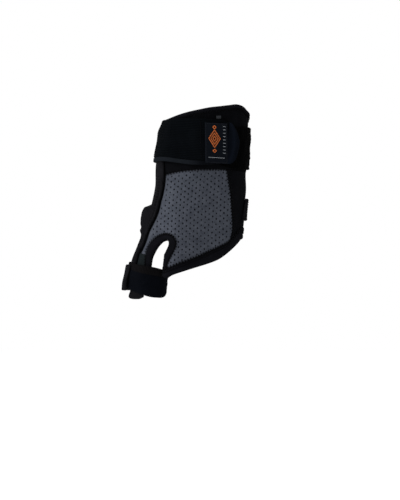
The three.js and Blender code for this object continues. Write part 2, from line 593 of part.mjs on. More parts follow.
// How far the wrist strap lies off the hollow as it climbs over the pocket and over the loop fabric
function underWristStrap({ angle, z }) {
  const pocket = rise(angle, STRAP_OVER_POCKET.start, STRAP_OVER_POCKET.up)
    * (1 - rise(angle, STRAP_OVER_POCKET.down, STRAP_OVER_POCKET.end))
    * (1 - rise(z / SPLINT_HEIGHT, STRAP_PAST_POCKET.start, STRAP_PAST_POCKET.end));
  const loop = rise(angle, STRAP_OVER_LOOP.start, STRAP_OVER_LOOP.up);
  const over = OVER_WALL + BINDING_PROUD;
  return over + pocket * (OVER_POCKET - over) + loop * (OVER_LOOP - over);
}
const edgeOf = (rows, column) => (angle) => follow(rows, "angle", column, angle) * SPLINT_HEIGHT;
const WRIST_STRAP_FROM = WRIST_STRAP_EDGES[0].angle;
const WRIST_STRAP_TO = WRIST_STRAP_EDGES.at(-1).angle;
const wristStrapTop = edgeOf(WRIST_STRAP_EDGES, "top");
const wristStrapBottom = edgeOf(WRIST_STRAP_EDGES, "bottom");

function wristStrap() {
  const low = (angle) => wristStrapBottom(angle) + STRAP_EDGE_WIDTH + GAP;
  return wall([band(HAND, WRIST_STRAP_FROM, WRIST_STRAP_TO, WRIST_STRAP_COLUMNS, 4, low, wristStrapTop)],
    underWristStrap, strapTop(underWristStrap));
}

function wristStrapEdge() {
  const high = (angle) => wristStrapBottom(angle) + STRAP_EDGE_WIDTH;
  return wall([band(HAND, WRIST_STRAP_FROM, WRIST_STRAP_TO, WRIST_STRAP_COLUMNS, 1, wristStrapBottom, high)],
    underWristStrap, strapTop(underWristStrap));
}

function ulnarLoopPanel() {
  const to = 360 + WRIST_STRAP_FROM - toDegrees(GAP / handSection(0).deep);
  return wall([band(HAND, LOOP_PANEL_EDGES[0].angle, to, 18, 3,
    edgeOf(LOOP_PANEL_EDGES, "bottom"), edgeOf(LOOP_PANEL_EDGES, "top"))],
  flat(OVER_WALL), flat(OVER_WALL + STRAP_THICKNESS));
}

// The strap's hook end goes on from the strap and is rounded
function wristStrapTab() {
  const rows = 8;
  const round = seenAlong(HAND, TAB_ROUND, rows);
  const start = WRIST_STRAP_TO + toDegrees(GAP / handSection(0).deep);
  const grid = round.map((spot, row) => {
    const z = mix(wristStrapBottom(start), wristStrapTop(start), row / rows);
    return [0, 0.25, 0.5, 0.75, 1].map((share) => (
      { angle: mix(start, spot.angle, share), z: mix(z, spot.z, share) }));
  });
  return wall([plant(HAND, grid)], flat(OVER_LOOP), flat(OVER_LOOP + STRAP_THICKNESS));
}

// A small flat-lying patch given by its four corners
function patch(corners, bottom, thickness) {
  const steps = 6;
  const [lowLeft, lowRight, highRight, highLeft] = corners.map(([x, z]) => new THREE.Vector2(x, z));
  const grid = Array.from({ length: 4 }, (_, row) => {
    const from = lowLeft.clone().lerp(highLeft, row / 3);
    const to = lowRight.clone().lerp(highRight, row / 3);
    return Array.from({ length: steps + 1 }, (__, column) => from.clone().lerp(to, column / steps));
  });
  const posts = grid.map((row) => row.map(({ x, y }) => {
    const spot = seen(HAND, x * SPLINT_WIDTH, y * SPLINT_HEIGHT);
    return post(HAND, spot.angle, spot.z);
  }));
  return wall([posts], bottom, (stake) => bottom(stake) + thickness);
}

// The palm strap bridges the hollow between the palm and the thumb, and ends under the pocket
function palmStrap() {
  const [from, to] = [PALM_STRAP_MIDDLE[0].angle, PALM_STRAP_MIDDLE.at(-1).angle];
  const edge = (side) => (angle) => palmStrapMiddle(angle) + side * PALM_STRAP_WIDTH / 2;
  const { start, up, down, end } = PALM_STRAP_OVER_WEB;
  const bottom = ({ angle }) => OVER_WALL + PALM_STRAP_BRIDGE * rise(angle, start, up) * (1 - rise(angle, down, end));
  return wall([band(HAND, from, to, 34, 3, edge(-1), edge(1))], bottom, strapTop(bottom));
}

// How far the thumb strap lies off the hollow as it climbs over the tongue's end
const THUMB_STRAP_UNDER = OVER_WALL + THUMB_STRAP_THICKNESS + GAP;
function underThumbStrap({ angle }) {
  const round = THREE.MathUtils.euclideanModulo(angle, 360);
  const tongue = rise(round, THUMB_STRAP_OVER_TONGUE.start, THUMB_STRAP_OVER_TONGUE.up)
    * (1 - rise(round, THUMB_STRAP_OVER_TONGUE.down, THUMB_STRAP_OVER_TONGUE.end));
  return mix(OVER_WALL + BINDING_PROUD, Math.max(OVER_POCKET, THUMB_STRAP_UNDER), tongue);
}
const thumbStrapTop = topOf(underThumbStrap, THUMB_STRAP_THICKNESS);

function thumbStrap() {
  return wall([band(THUMB, 0, 360, 40, 3, edgeOf(THUMB_STRAP_EDGES, "bottom"), edgeOf(THUMB_STRAP_EDGES, "top"))],
    underThumbStrap, thumbStrapTop);
}

function thumbStrapFold() {
  const rows = THUMB_FOLD_EDGES.map(({ height, near, far }) => (
    run(THUMB, near, far, 12, () => height * SPLINT_HEIGHT)));
  const [low, high] = [THUMB_FOLD_EDGES[0].height, THUMB_FOLD_EDGES.at(-1).height];
  const bottom = (stake) => thumbStrapTop(stake) + GAP
    + THUMB_FOLD_FLARE * rise(high - stake.z / SPLINT_HEIGHT, 0, high - low);
  return wall([plant(THUMB, rows)], bottom, topOf(bottom, THUMB_STRAP_THICKNESS));
}

// The rounded end lies flat under the strap and stands off a little below it
function thumbStrapEnd() {
  const [from, to] = [THUMB_END_EDGES[0].angle, THUMB_END_EDGES.at(-1).angle];
  const { start, full, turn, end } = THUMB_END_LIFT;
  const bottom = ({ angle, z }) => OVER_WALL + THUMB_END_FLARE * (1 - rise(angle, turn, end))
    * rise(start - z / SPLINT_HEIGHT, 0, start - full);
  return wall([band(THUMB, from, to, 10, 4, edgeOf(THUMB_END_EDGES, "bottom"), edgeOf(THUMB_END_EDGES, "top"))],
    bottom, topOf(bottom, THUMB_STRAP_THICKNESS));
}

// Closes the grey tongue's end, between the pocket's seam and the bound edge
function tongueEndTape() {
  const rows = 2;
  const outer = seenAlong(THUMB, POCKET_SEAM_TIP, rows).map((spot) => aside(THUMB, spot, GAP));
  const inner = seenAlong(THUMB, OPENING_TONGUE_TIP, rows);
  const grid = outer.map((spot, row) => [0, 0.5, 1].map((share) => (
    { angle: mix(spot.angle, inner[row].angle, share), z: mix(spot.z, inner[row].z, share) - GAP })));
  return wall([plant(THUMB, grid)], flat(0), flat(WALL));
}

piece("mesh_panel", meshPanel(), GREY_MESH);
piece("ulnar_panel", ulnarPanel(), BLACK_KNIT);
piece("palm_panel", palmPanel(), BLACK_KNIT);
piece("thenar_panel", thenarPanel(), BLACK_KNIT);
piece("cuff_panel", cuffPanel(), BLACK_KNIT);
piece("cuff_binding", cuffBinding(), BLACK_KNIT, 0.8);
piece("distal_binding", distalBinding(), BLACK_KNIT, 0.8);
piece("thumb_opening_binding", thumbOpeningBinding(), BLACK_KNIT, 0.8);
piece("radial_stay_pocket", radialStayPocket(), BLACK_WEBBING);
piece("wrist_strap", wristStrap(), BLACK_WEBBING, 0.8);
piece("wrist_strap_edge", wristStrapEdge(), PALE_GREY, 0.8);
piece("wrist_strap_tab", wristStrapTab(), NAVY_LOOP);
piece("ulnar_loop_panel", ulnarLoopPanel(), BLACK_LOOP, 1);
const underPatch = topOf(underWristStrap, STRAP_THICKNESS + GAP);
piece("label_patch", patch(PATCH_CORNERS, underPatch, PATCH_THICKNESS), ORANGE, 0.7);
piece("cuff_tag", patch(TAG_CORNERS, flat(OVER_WALL), TAG_THICKNESS), PALE_GREY);
piece("palm_strap", palmStrap(), BLACK_WEBBING);
piece("thumb_strap", thumbStrap(), NAVY_LOOP, 1);
piece("thumb_strap_fold", thumbStrapFold(), BLACK_WEBBING);
piece("thumb_strap_end", thumbStrapEnd(), BLACK_WEBBING);
piece("tongue_end_tape", tongueEndTape(), BLACK_WEBBING);

export default splint;
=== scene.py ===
import bpy
import numpy as np
from mathutils.geometry import delaunay_2d_cdt
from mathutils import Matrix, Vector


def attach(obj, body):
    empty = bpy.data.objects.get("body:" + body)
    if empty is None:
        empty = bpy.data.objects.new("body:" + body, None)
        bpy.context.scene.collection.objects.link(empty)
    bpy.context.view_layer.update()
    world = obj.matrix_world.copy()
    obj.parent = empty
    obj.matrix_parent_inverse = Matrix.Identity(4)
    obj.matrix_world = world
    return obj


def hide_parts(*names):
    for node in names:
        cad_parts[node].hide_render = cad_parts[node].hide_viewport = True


# Looks of a thumb spica splint: foam-backed cloth panels, bindings, webbing straps and stitches.
# Every length is in millimetres until a mesh is made. The hollow and the outlines are those of the
# part: the origin is the middle of the hollow at the wrist, fingers down, back of the hand to -Y.
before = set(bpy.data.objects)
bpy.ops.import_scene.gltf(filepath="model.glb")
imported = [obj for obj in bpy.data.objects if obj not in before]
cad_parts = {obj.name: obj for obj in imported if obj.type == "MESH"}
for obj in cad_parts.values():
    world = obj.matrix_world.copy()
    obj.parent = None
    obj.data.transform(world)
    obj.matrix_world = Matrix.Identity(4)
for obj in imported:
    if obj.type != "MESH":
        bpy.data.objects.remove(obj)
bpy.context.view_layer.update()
METRES = 0.001

# Driving dimensions, as in the part
SPLINT_WIDTH = 115
SPLINT_HEIGHT = 174
LIMB_DEPTH = 61
WALL = 3
POCKET_THICKNESS = 2.8
STRAP_THICKNESS = 2.4
THUMB_STRAP_THICKNESS = 1.8
BINDING_PROUD = 0.6
PATCH_THICKNESS = 0.8
TAG_THICKNESS = 0.8
GAP = 0.3
CUFF_BINDING_WIDTH = 4
DISTAL_BINDING_WIDTH = 7
STRAP_EDGE_WIDTH = 4
PALM_STRAP_WIDTH = 20
POCKET_BULGE = 2.5 * (STRAP_THICKNESS + GAP)
THUMB_FOLD_FLARE = 2.2
THUMB_END_FLARE = 2.4
PALM_STRAP_BRIDGE = 3.0
PANEL_FOLD_DEPTH = 1.2
WEB_BLEND = 7


def table(names, rows):
    """The columns of a short table, by name."""
    return dict(zip(names.split(), np.array(rows, float).T))


# The hollow's sections: heights are shares of the height, middle and half of the width, the rest of
# the limb's depth
HAND_SECTIONS = table("height middle half lean deep", [
    [-0.690, 0.004, 0.283, 0.369, 0.262],
    [-0.592, -0.002, 0.277, 0.369, 0.270],
    [-0.506, 0.000, 0.277, 0.361, 0.279],
    [-0.440, 0.003, 0.273, 0.352, 0.295],
    [-0.388, 0.007, 0.276, 0.344, 0.311],
    [-0.310, 0.012, 0.286, 0.320, 0.336],
    [-0.207, 0.010, 0.298, 0.270, 0.377],
    [-0.129, 0.010, 0.305, 0.221, 0.410],
    [-0.052, 0.002, 0.311, 0.180, 0.434],
    [0.040, 0.010, 0.310, 0.148, 0.451],
    [0.129, 0.024, 0.303, 0.123, 0.467],
    [0.233, 0.040, 0.295, 0.107, 0.484],
    [0.336, 0.053, 0.305, 0.098, 0.500],
])
THUMB_SECTIONS = table("height middle half back deep", [
    [-0.698, -0.424, 0.094, -0.049, 0.156],
    [-0.595, -0.422, 0.100, -0.049, 0.177],
    [-0.507, -0.400, 0.103, -0.057, 0.193],
    [-0.440, -0.352, 0.111, -0.066, 0.210],
    [-0.388, -0.315, 0.117, -0.074, 0.221],
    [-0.310, -0.259, 0.126, -0.082, 0.246],
    [-0.207, -0.208, 0.135, -0.082, 0.262],
    [-0.052, -0.157, 0.130, -0.066, 0.246],
    [0.129, -0.130, 0.113, -0.057, 0.230],
    [0.336, -0.104, 0.104, -0.049, 0.213],
])

# Outlines as they show from the front, in shares of the width and the height
POCKET_SEAM = [[-0.489, -0.458], [-0.458, -0.419], [-0.434, -0.378], [-0.415, -0.341], [-0.387, -0.305],
    [-0.360, -0.269], [-0.340, -0.233], [-0.325, -0.191], [-0.309, -0.155], [-0.297, -0.103],
    [-0.290, -0.052]]
POCKET_SEAM_TOP = [[-0.290, -0.052], [-0.291, 0.010], [-0.293, 0.075], [-0.293, 0.135]]
POCKET_SEAM_TIP = [[-0.525, -0.555], [-0.489, -0.458]]
OPENING_TONGUE_SIDE = [[-0.442, -0.471], [-0.434, -0.440], [-0.415, -0.411], [-0.387, -0.388],
    [-0.348, -0.370], [-0.309, -0.360], [-0.278, -0.358]]
OPENING_TONGUE_TIP = [[-0.449, -0.555], [-0.442, -0.471]]
OPENING_RIM_TIP = [[-0.398, -0.562], [-0.386, -0.492]]
OPENING_TONGUE_RIM = [[-0.386, -0.492], [-0.371, -0.463], [-0.345, -0.432],
    [-0.317, -0.409], [-0.296, -0.396], [-0.278, -0.391]]
OPENING_HAND_SIDE = [[-0.290, -0.541], [-0.270, -0.504], [-0.247, -0.471], [-0.223, -0.442],
    [-0.207, -0.416], [-0.207, -0.393], [-0.227, -0.372], [-0.250, -0.362], [-0.278, -0.358]]
OPENING_HAND_RIM = [[-0.318, -0.538], [-0.316, -0.500], [-0.301, -0.471], [-0.283, -0.442],
    [-0.266, -0.416], [-0.264, -0.399], [-0.278, -0.391]]
ULNAR_SEAM = [[0.223, -0.391], [0.239, -0.341], [0.239, -0.284], [0.231, -0.207], [0.223, -0.145],
    [0.207, -0.072], [0.192, -0.026]]
CUFF_SEAM = [[-0.290, -0.052], [-0.215, -0.041], [-0.137, -0.034], [-0.020, -0.027], [0.098, -0.026],
    [0.192, -0.026], [0.300, -0.030]]
CUFF_TOP = [[-0.270, 0.236], [-0.176, 0.256], [-0.098, 0.269], [-0.020, 0.279], [0.059, 0.289],
    [0.137, 0.295], [0.215, 0.302], [0.270, 0.307], [0.317, 0.301], [0.345, 0.284]]
DISTAL_SEAM = [[-0.290, -0.541], [-0.254, -0.530], [-0.176, -0.509], [-0.098, -0.491], [-0.020, -0.471],
    [0.059, -0.447], [0.137, -0.424], [0.192, -0.406], [0.223, -0.391], [0.262, -0.358], [0.290, -0.332]]
DISTAL_EDGE = [[-0.282, -0.586], [-0.231, -0.568], [-0.145, -0.550], [-0.051, -0.531], [0.035, -0.514],
    [0.106, -0.497], [0.153, -0.480], [0.207, -0.453], [0.262, -0.419], [0.300, -0.388]]
PATCH_CORNERS = [[0.008, 0.008], [0.165, 0.005], [0.165, 0.210], [0.011, 0.212]]
TAB_ROUND = [[0.192, 0.003], [0.226, 0.024], [0.250, 0.070], [0.258, 0.118], [0.243, 0.166], [0.206, 0.210],
    [0.192, 0.214]]
TAG_CORNERS = [[0.105, 0.230], [0.140, 0.231], [0.140, 0.247], [0.105, 0.246]]

# Edges on the palm side and round the thumb: angles in degrees, heights in shares of the height
CUFF_SEAM_PALM = table("angle height", [[60, -0.030], [120, -0.036], [190, -0.050]])
CUFF_TOP_PALM = table("angle height", [[20, 0.262], [60, 0.245], [120, 0.236], [190, 0.233]])
DISTAL_PALM = table("angle height", [[60, -0.388], [90, -0.408], [130, -0.450], [160, -0.486],
    [190, -0.535], [203, -0.564]])
THENAR_SEAM = table("height angle", [[-0.357, 158], [-0.250, 154], [-0.120, 148], [-0.030, 142]])
PALM_OPENING = table("height angle", [[-0.560, 206], [-0.510, 203], [-0.460, 190], [-0.420, 170],
    [-0.385, 161], [-0.357, 158]])
ULNAR_BACK_ANGLE = 60
TONGUE_PALM_EDGE = table("height angle", [[-0.562, 158], [-0.470, 155], [-0.430, 140],
    [-0.395, 105], [-0.357, 52]])
THUMB_STRAP_EDGES = table("angle top bottom", [[0, -0.548, -0.652], [90, -0.537, -0.650],
    [150, -0.512, -0.634], [190, -0.511, -0.632], [225, -0.515, -0.652], [270, -0.521, -0.676],
    [300, -0.529, -0.683], [335, -0.542, -0.681], [360, -0.548, -0.652]])
THUMB_FOLD_EDGES = table("height near far", [[-0.645, 118, 205], [-0.585, 118, 208], [-0.525, 118, 212]])
THUMB_END_EDGES = table("angle top bottom", [[184, -0.600, -0.660], [194, -0.600, -0.682],
    [210, -0.600, -0.690], [236, -0.600, -0.690], [254, -0.600, -0.680]])
WRIST_STRAP_EDGES = table("angle top bottom", [[62, 0.228, 0.010], [130, 0.227, 0.007],
    [190, 0.225, 0.006], [215, 0.228, 0.010], [240, 0.234, 0.000], [257, 0.234, -0.004], [290, 0.227, 0.004],
    [303, 0.216, 0.008]])
LOOP_PANEL_EDGES = table("angle top bottom", [[272, 0.150, 0.040], [300, 0.185, 0.000],
    [330, 0.194, -0.018], [360, 0.196, -0.024], [420, 0.190, -0.018]])
PALM_STRAP_MIDDLE = table("angle height", [[16, -0.227], [60, -0.233], [120, -0.248], [158, -0.264],
    [186, -0.288]])
PANEL_FOLDS = table("across height slope reach spread depth", [
    [-0.030, -0.085, 0.10, 0.150, 0.020, 1.0],
    [0.020, -0.150, -0.16, 0.140, 0.026, 0.9],
    [-0.120, -0.215, 0.45, 0.090, 0.024, 0.7],
])

# Where a strap climbs over what lies under it
STRAP_OVER_POCKET = {"start": 146, "up": 160, "down": 219, "end": 234}
STRAP_OVER_LOOP = {"start": 238, "up": 262}
STRAP_PAST_POCKET = {"start": 0.150, "end": 0.220}
PALM_STRAP_OVER_WEB = {"start": 130, "up": 144, "down": 163, "end": 176}
POCKET_LOBE = table("off share", [[-1.77, 0], [-1.50, 0.13], [-1.23, 0.45], [-0.99, 0.44], [-0.69, 0.69],
    [-0.42, 0.80], [-0.15, 0.90], [0.12, 0.95], [0.39, 1.00], [0.66, 0.95], [0.93, 0.80], [1.11, 0.40],
    [1.30, 0]])
POCKET_PALM_ANGLE = 158
POCKET_BULGE_TURN = {"mouth": 0.47, "full": 20, "down": 26, "end": 3}
THUMB_END_LIFT = {"start": -0.646, "full": -0.684, "turn": 206, "end": 232}
THUMB_STRAP_OVER_TONGUE = {"start": 128, "up": 146, "down": 246, "end": 292}

# Layers, counted outwards from the hollow
OVER_WALL = WALL + GAP
OVER_POCKET = OVER_WALL + POCKET_THICKNESS + GAP
OVER_LOOP = OVER_WALL + STRAP_THICKNESS + GAP
THUMB_STRAP_UNDER = OVER_WALL + THUMB_STRAP_THICKNESS + GAP


def follow(keys, values, at):
    """Reads values over rising keys smoothly."""
    keys, values, at = (np.asarray(column, float) for column in (keys, values, at))
    last = len(keys) - 1
    index = np.searchsorted(keys[1:last], at, side="left")
    before = np.maximum(np.arange(last + 1) - 1, 0)
    after = np.minimum(np.arange(last + 1) + 1, last)
    slope = (values[after] - values[before]) / (keys[after] - keys[before])
    step = keys[index + 1] - keys[index]
    t = np.clip((at - keys[index]) / step, 0, 1)
    return ((2 * t**3 - 3 * t**2 + 1) * values[index] + (t**3 - 2 * t**2 + t) * step * slope[index]
            + (3 * t**2 - 2 * t**3) * values[index + 1] + (t**3 - t**2) * step * slope[index + 1])


def mix(low, high, share):
    return low + (high - low) * share


def rise(at, start, end):
    t = np.clip((at - start) / (end - start), 0, 1)
    return t * t * (3 - 2 * t)


def unit(vectors):
    return vectors / np.maximum(np.linalg.norm(vectors, axis=-1, keepdims=True), 1e-9)


# The hollow: the hand's leaning oval and the thumb's oval, joined with a soft web
def sections(z):
    share = np.asarray(z, float) / SPLINT_HEIGHT
    sizes = [(HAND_SECTIONS, "middle", SPLINT_WIDTH), (HAND_SECTIONS, "half", SPLINT_WIDTH),
             (HAND_SECTIONS, "lean", LIMB_DEPTH), (HAND_SECTIONS, "deep", LIMB_DEPTH),
             (THUMB_SECTIONS, "middle", SPLINT_WIDTH), (THUMB_SECTIONS, "half", SPLINT_WIDTH),
             (THUMB_SECTIONS, "back", LIMB_DEPTH), (THUMB_SECTIONS, "deep", LIMB_DEPTH)]
    return [follow(rows["height"], rows[name], share) * size for rows, name, size in sizes]


def hollow(x, y, limb):
    """Below zero inside the hollow."""
    hand_x, hand_half, lean, hand_deep, thumb_x, thumb_half, thumb_y, thumb_deep = limb
    across = (x - hand_x) / hand_half
    through = (y - lean * across) / hand_deep
    from_hand = (np.hypot(across, through) - 1) * np.minimum(hand_half, hand_deep)
    from_thumb = (np.hypot((x - thumb_x) / thumb_half, (y - thumb_y) / thumb_deep) - 1) * thumb_half
    share = np.clip(0.5 + 0.5 * (from_thumb - from_hand) / WEB_BLEND, 0, 1)
    return mix(from_thumb, from_hand, share) - WEB_BLEND * share * (1 - share)


MARCH = 2.0
PROBE = 0.2
ANGLE_STEP = 1.5
JUMP = 4
LOWEST = -130
HIGHEST = 64


class Chart:
    """Names places on the hollow by an angle round a middle and a height, and reads them quickly."""

    def __init__(self, middle):
        self.middle = middle
        z = np.arange(LOWEST, HIGHEST + 1.0)[:, None]
        turn = np.radians(np.arange(0, 360, ANGLE_STEP))[None, :]
        x, y = middle(z)
        limb = sections(z)
        inside = lambda far: hollow(x + np.cos(turn) * far, y + np.sin(turn) * far, limb) < 0
        high = np.full((len(z), turn.shape[1]), MARCH)
        active = inside(high)
        while active.any():
            high[active] += MARCH
            active &= inside(high)
        low = high - MARCH
        for _ in range(24):
            half = (low + high) / 2
            within = inside(half)
            low = np.where(within, half, low)
            high = np.where(within, high, half)
        foot_x, foot_y = x + np.cos(turn) * low, y + np.sin(turn) * low
        above, below = sections(z + PROBE), sections(z - PROBE)
        normal = np.stack([
            hollow(foot_x + PROBE, foot_y, limb) - hollow(foot_x - PROBE, foot_y, limb),
            hollow(foot_x, foot_y + PROBE, limb) - hollow(foot_x, foot_y - PROBE, limb),
            hollow(foot_x, foot_y, above) - hollow(foot_x, foot_y, below)], -1)
        self.known = np.concatenate([low[..., None], unit(normal)], -1)

    def posts(self, angle, z):
        """Feet on the hollow and the directions straight out of it."""
        angle, z = np.broadcast_arrays(np.asarray(angle, float), np.asarray(z, float))
        column = (angle % 360) / ANGLE_STEP
        row = np.clip(z - LOWEST, 0, HIGHEST - LOWEST - 1e-6)
        i, j = column.astype(int), row.astype(int)
        u, v = (column - i)[..., None], (row - j)[..., None]
        count = self.known.shape[1]
        i, beside = i % count, (i + 1) % count
        corners = np.stack([self.known[j, i], self.known[j, beside],
                            self.known[j + 1, i], self.known[j + 1, beside]])
        far = corners[..., 0]
        nearest = np.take_along_axis(corners, far.argmin(0)[None, ..., None], 0)[0]
        read = mix(mix(corners[0], corners[1], u), mix(corners[2], corners[3], u), v)
        read = np.where((far.max(0) - far.min(0) > JUMP)[..., None], nearest, read)
        x, y = self.middle(z)
        turn = np.radians(angle)
        feet = np.stack([x + np.cos(turn) * read[..., 0], y + np.sin(turn) * read[..., 0], z], -1)
        return feet, unit(read[..., 1:])

    def at(self, angle, z, off):
        feet, out = self.posts(angle, z)
        return feet + out * np.asarray(off, float)[..., None]

    def angle_of(self, feet):
        x, y = self.middle(feet[..., 2])
        return np.degrees(np.arctan2(feet[..., 1] - y, feet[..., 0] - x)) % 360


def hand_middle(z):
    x = follow(HAND_SECTIONS["height"], HAND_SECTIONS["middle"], z / SPLINT_HEIGHT) * SPLINT_WIDTH
    return x, x * 0


def thumb_middle(z):
    share = z / SPLINT_HEIGHT
    return (follow(THUMB_SECTIONS["height"], THUMB_SECTIONS["middle"], share) * SPLINT_WIDTH,
            follow(THUMB_SECTIONS["height"], THUMB_SECTIONS["back"], share) * LIMB_DEPTH)


HAND = Chart(hand_middle)
THUMB = Chart(thumb_middle)
LEFT_SIDE = np.arange(168, 251, 6.0)
RIGHT_SIDE = np.arange(330, 411, 6.0)


def seen(chart, x, z, off=WALL):
    """Angles and heights of the places whose outer face shows at x and z from the front."""
    x, z = np.broadcast_arrays(np.asarray(x, float), np.asarray(z, float))

    def shown_at(angle):
        height = z + 0.0
        for _ in range(3):
            point = chart.at(angle, height, off + 0 * height)
            height = height + z - point[..., 2]
        return height, point[..., 0]

    def extreme(angles, sign):
        best_angle, best_z, best_x = np.full(x.shape, angles[0]), z + 0.0, np.full(x.shape, -sign * 1e9)
        for angle in angles:
            height, across = shown_at(np.full(x.shape, angle))
            better = sign * across > sign * best_x
            best_angle, best_z = np.where(better, angle, best_angle), np.where(better, height, best_z)
            best_x = np.where(better, across, best_x)
        return best_angle, best_z, best_x

    low, low_z, low_x = extreme(LEFT_SIDE, -1)
    high, high_z, high_x = extreme(RIGHT_SIDE, 1)
    too_low, too_high = x <= low_x, x >= high_x
    angle_low, angle_high, found_z = low, high, low_z
    for _ in range(18):
        half = (angle_low + angle_high) / 2
        height, across = shown_at(half)
        left = across < x
        found_z = np.where(left, height, found_z)
        angle_low, angle_high = np.where(left, half, angle_low), np.where(left, angle_high, half)
    angle = np.where(too_low, low, np.where(too_high, high, angle_low))
    return angle, np.where(too_low, low_z, np.where(too_high, high_z, found_z))


def trace(outline, steps):
    """Evenly spaced points, in millimetres, on a smooth line through the outline's points."""
    points = np.array(outline) * [SPLINT_WIDTH, SPLINT_HEIGHT]
    padded = np.concatenate([points[:1], points, points[-1:]])
    t = np.linspace(0, 1, 24, endpoint=False)[:, None]
    fine = []
    for before, here, after, beyond in zip(padded, padded[1:], padded[2:], padded[3:]):
        start, end = (after - before) / 2, (beyond - here) / 2
        fine.append((2 * here - 2 * after + start + end) * t**3
                    + (3 * after - 3 * here - 2 * start - end) * t**2 + start * t + here)
    fine = np.concatenate([*fine, points[-1:]])
    way = lengths(fine)
    goal = np.linspace(0, way[-1], steps + 1)
    return np.stack([np.interp(goal, way, fine[:, 0]), np.interp(goal, way, fine[:, 1])], -1)


def lengths(points):
    """Way along a line of points, from its start."""
    steps = np.linalg.norm(np.diff(points, axis=0), axis=-1)
    return np.concatenate([np.zeros((1, *steps.shape[1:])), np.cumsum(steps, 0)])


def seen_along(chart, outline, steps):
    line = trace(outline, steps)
    return np.stack(seen(chart, line[:, 0], line[:, 1]), -1)


def around(front, palm, raised=0):
    """A height for every hand angle, from a front outline and the rows that carry it round the palm."""
    spots = seen_along(HAND, front, 28)
    palm_spots = np.stack([palm["angle"] + 360, palm["height"] * SPLINT_HEIGHT + raised], -1)
    spots = np.concatenate([spots, palm_spots, spots[:1] + [360, 0]])
    first = spots[0, 0]
    return lambda angle: follow(spots[:, 0], spots[:, 1], first + (np.asarray(angle) - first) % 360)


cuff_seam = around(CUFF_SEAM, CUFF_SEAM_PALM)
cuff_top = around(CUFF_TOP, CUFF_TOP_PALM)
distal_edge = around(DISTAL_EDGE, DISTAL_PALM)
distal_seam = around(DISTAL_SEAM, DISTAL_PALM, DISTAL_BINDING_WIDTH)


# Grids of places
EDGE_TURNS = np.radians([0, 28, 52, 72, 90])


def shares(count, length, edge):
    """Shares of a length, closer together near both ends, where the cloth is rounded off."""
    near = edge * (1 - np.cos(EDGE_TURNS)) / length
    return np.concatenate([near, np.linspace(near[-1], 1 - near[-1], count)[1:-1], 1 - near[::-1]])


def paced(chart, start, end, height, parts):
    """Angles at the given shares of the way between two angles."""
    angles = np.linspace(start, end, 721)
    way = lengths(chart.at(angles, height(angles), WALL + 0 * angles))
    return np.interp(parts * way[-1], way, angles)


def band(chart, start, end, low, high, columns, rows, edge=1.2):
    """Places between two edges round the limb."""
    closed = abs(end - start - 360) < 1e-6
    middle = lambda angle: (low(angle) + high(angle)) / 2
    angles = np.linspace(start, end, 181)
    way = lengths(chart.at(angles, middle(angles), WALL + 0 * angles))[-1]
    along = np.linspace(0, 1, columns) if closed else shares(columns, way, edge)
    angle = paced(chart, start, end, middle, along)
    up = shares(rows, np.mean(high(angle) - low(angle)), edge)[:, None]
    return np.broadcast_to(angle, (len(up), len(angle))), mix(low(angle), high(angle), up)


def read_edge(edge, parts):
    index = np.arange(len(edge)) / (len(edge) - 1)
    return np.stack([np.interp(parts, index, edge[:, 0]), np.interp(parts, index, edge[:, 1])], -1)


def fill(bottom, top, left, right, columns, rows, edge=1.2, size=(70, 70)):
    """Places between four edges of places."""
    u, v = shares(columns, size[0], edge), shares(rows, size[1], edge)
    low, high = read_edge(bottom, u)[None], read_edge(top, u)[None]
    near, far = read_edge(left, v)[:, None], read_edge(right, v)[:, None]
    u, v = u[None, :, None], v[:, None, None]
    grid = (mix(low, high, v) + mix(near, far, u)
            - mix(mix(bottom[0], bottom[-1], u), mix(top[0], top[-1], u), v))
    return grid[..., 0], grid[..., 1]


def straight(start, end, steps=24):
    return mix(np.asarray(start), np.asarray(end), np.linspace(0, 1, steps + 1)[:, None])


def edge_of(rows, column):
    return lambda angle: follow(rows["angle"], rows[column], angle) * SPLINT_HEIGHT


def ripple(points, seed, size, depth):
    """A gentle unevenness of that size and depth."""
    draw = np.random.default_rng(seed)
    total = np.zeros(points.shape[:-1])
    for _ in range(6):
        way = unit(draw.normal(size=3)) * 2 * np.pi / (size * draw.uniform(0.7, 1.5))
        total += np.sin(points @ way + draw.uniform(0, 2 * np.pi))
    return total * depth / 3


def rounded(far, edge):
    """Share of the thickness at a distance from a free edge, where the cloth is rounded off."""
    return np.sqrt(1 - (1 - np.clip(far / edge, 0, 1)) ** 2)


# Meshes
def make(name, points, faces, cloth, material):
    """A smooth mesh object. cloth holds one (along, across, tone) for each corner of each face."""
    mesh = bpy.data.meshes.new(name)
    mesh.from_pydata((np.asarray(points) * METRES).tolist(), [], [list(face) for face in faces])
    mesh.polygons.foreach_set("use_smooth", np.ones(len(mesh.polygons), bool))
    marks = mesh.attributes.new("cloth", "FLOAT_VECTOR", "CORNER")
    marks.data.foreach_set("vector", np.asarray(cloth, np.float32).reshape(-1))
    mesh.materials.append(material)
    mesh.update()
    thing = bpy.data.objects.new(name, mesh)
    bpy.context.scene.collection.objects.link(thing)
    return thing


def dress(thing, slot, *nodes):
    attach(thing, "root")
    if nodes:
        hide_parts(*nodes)
    return thing


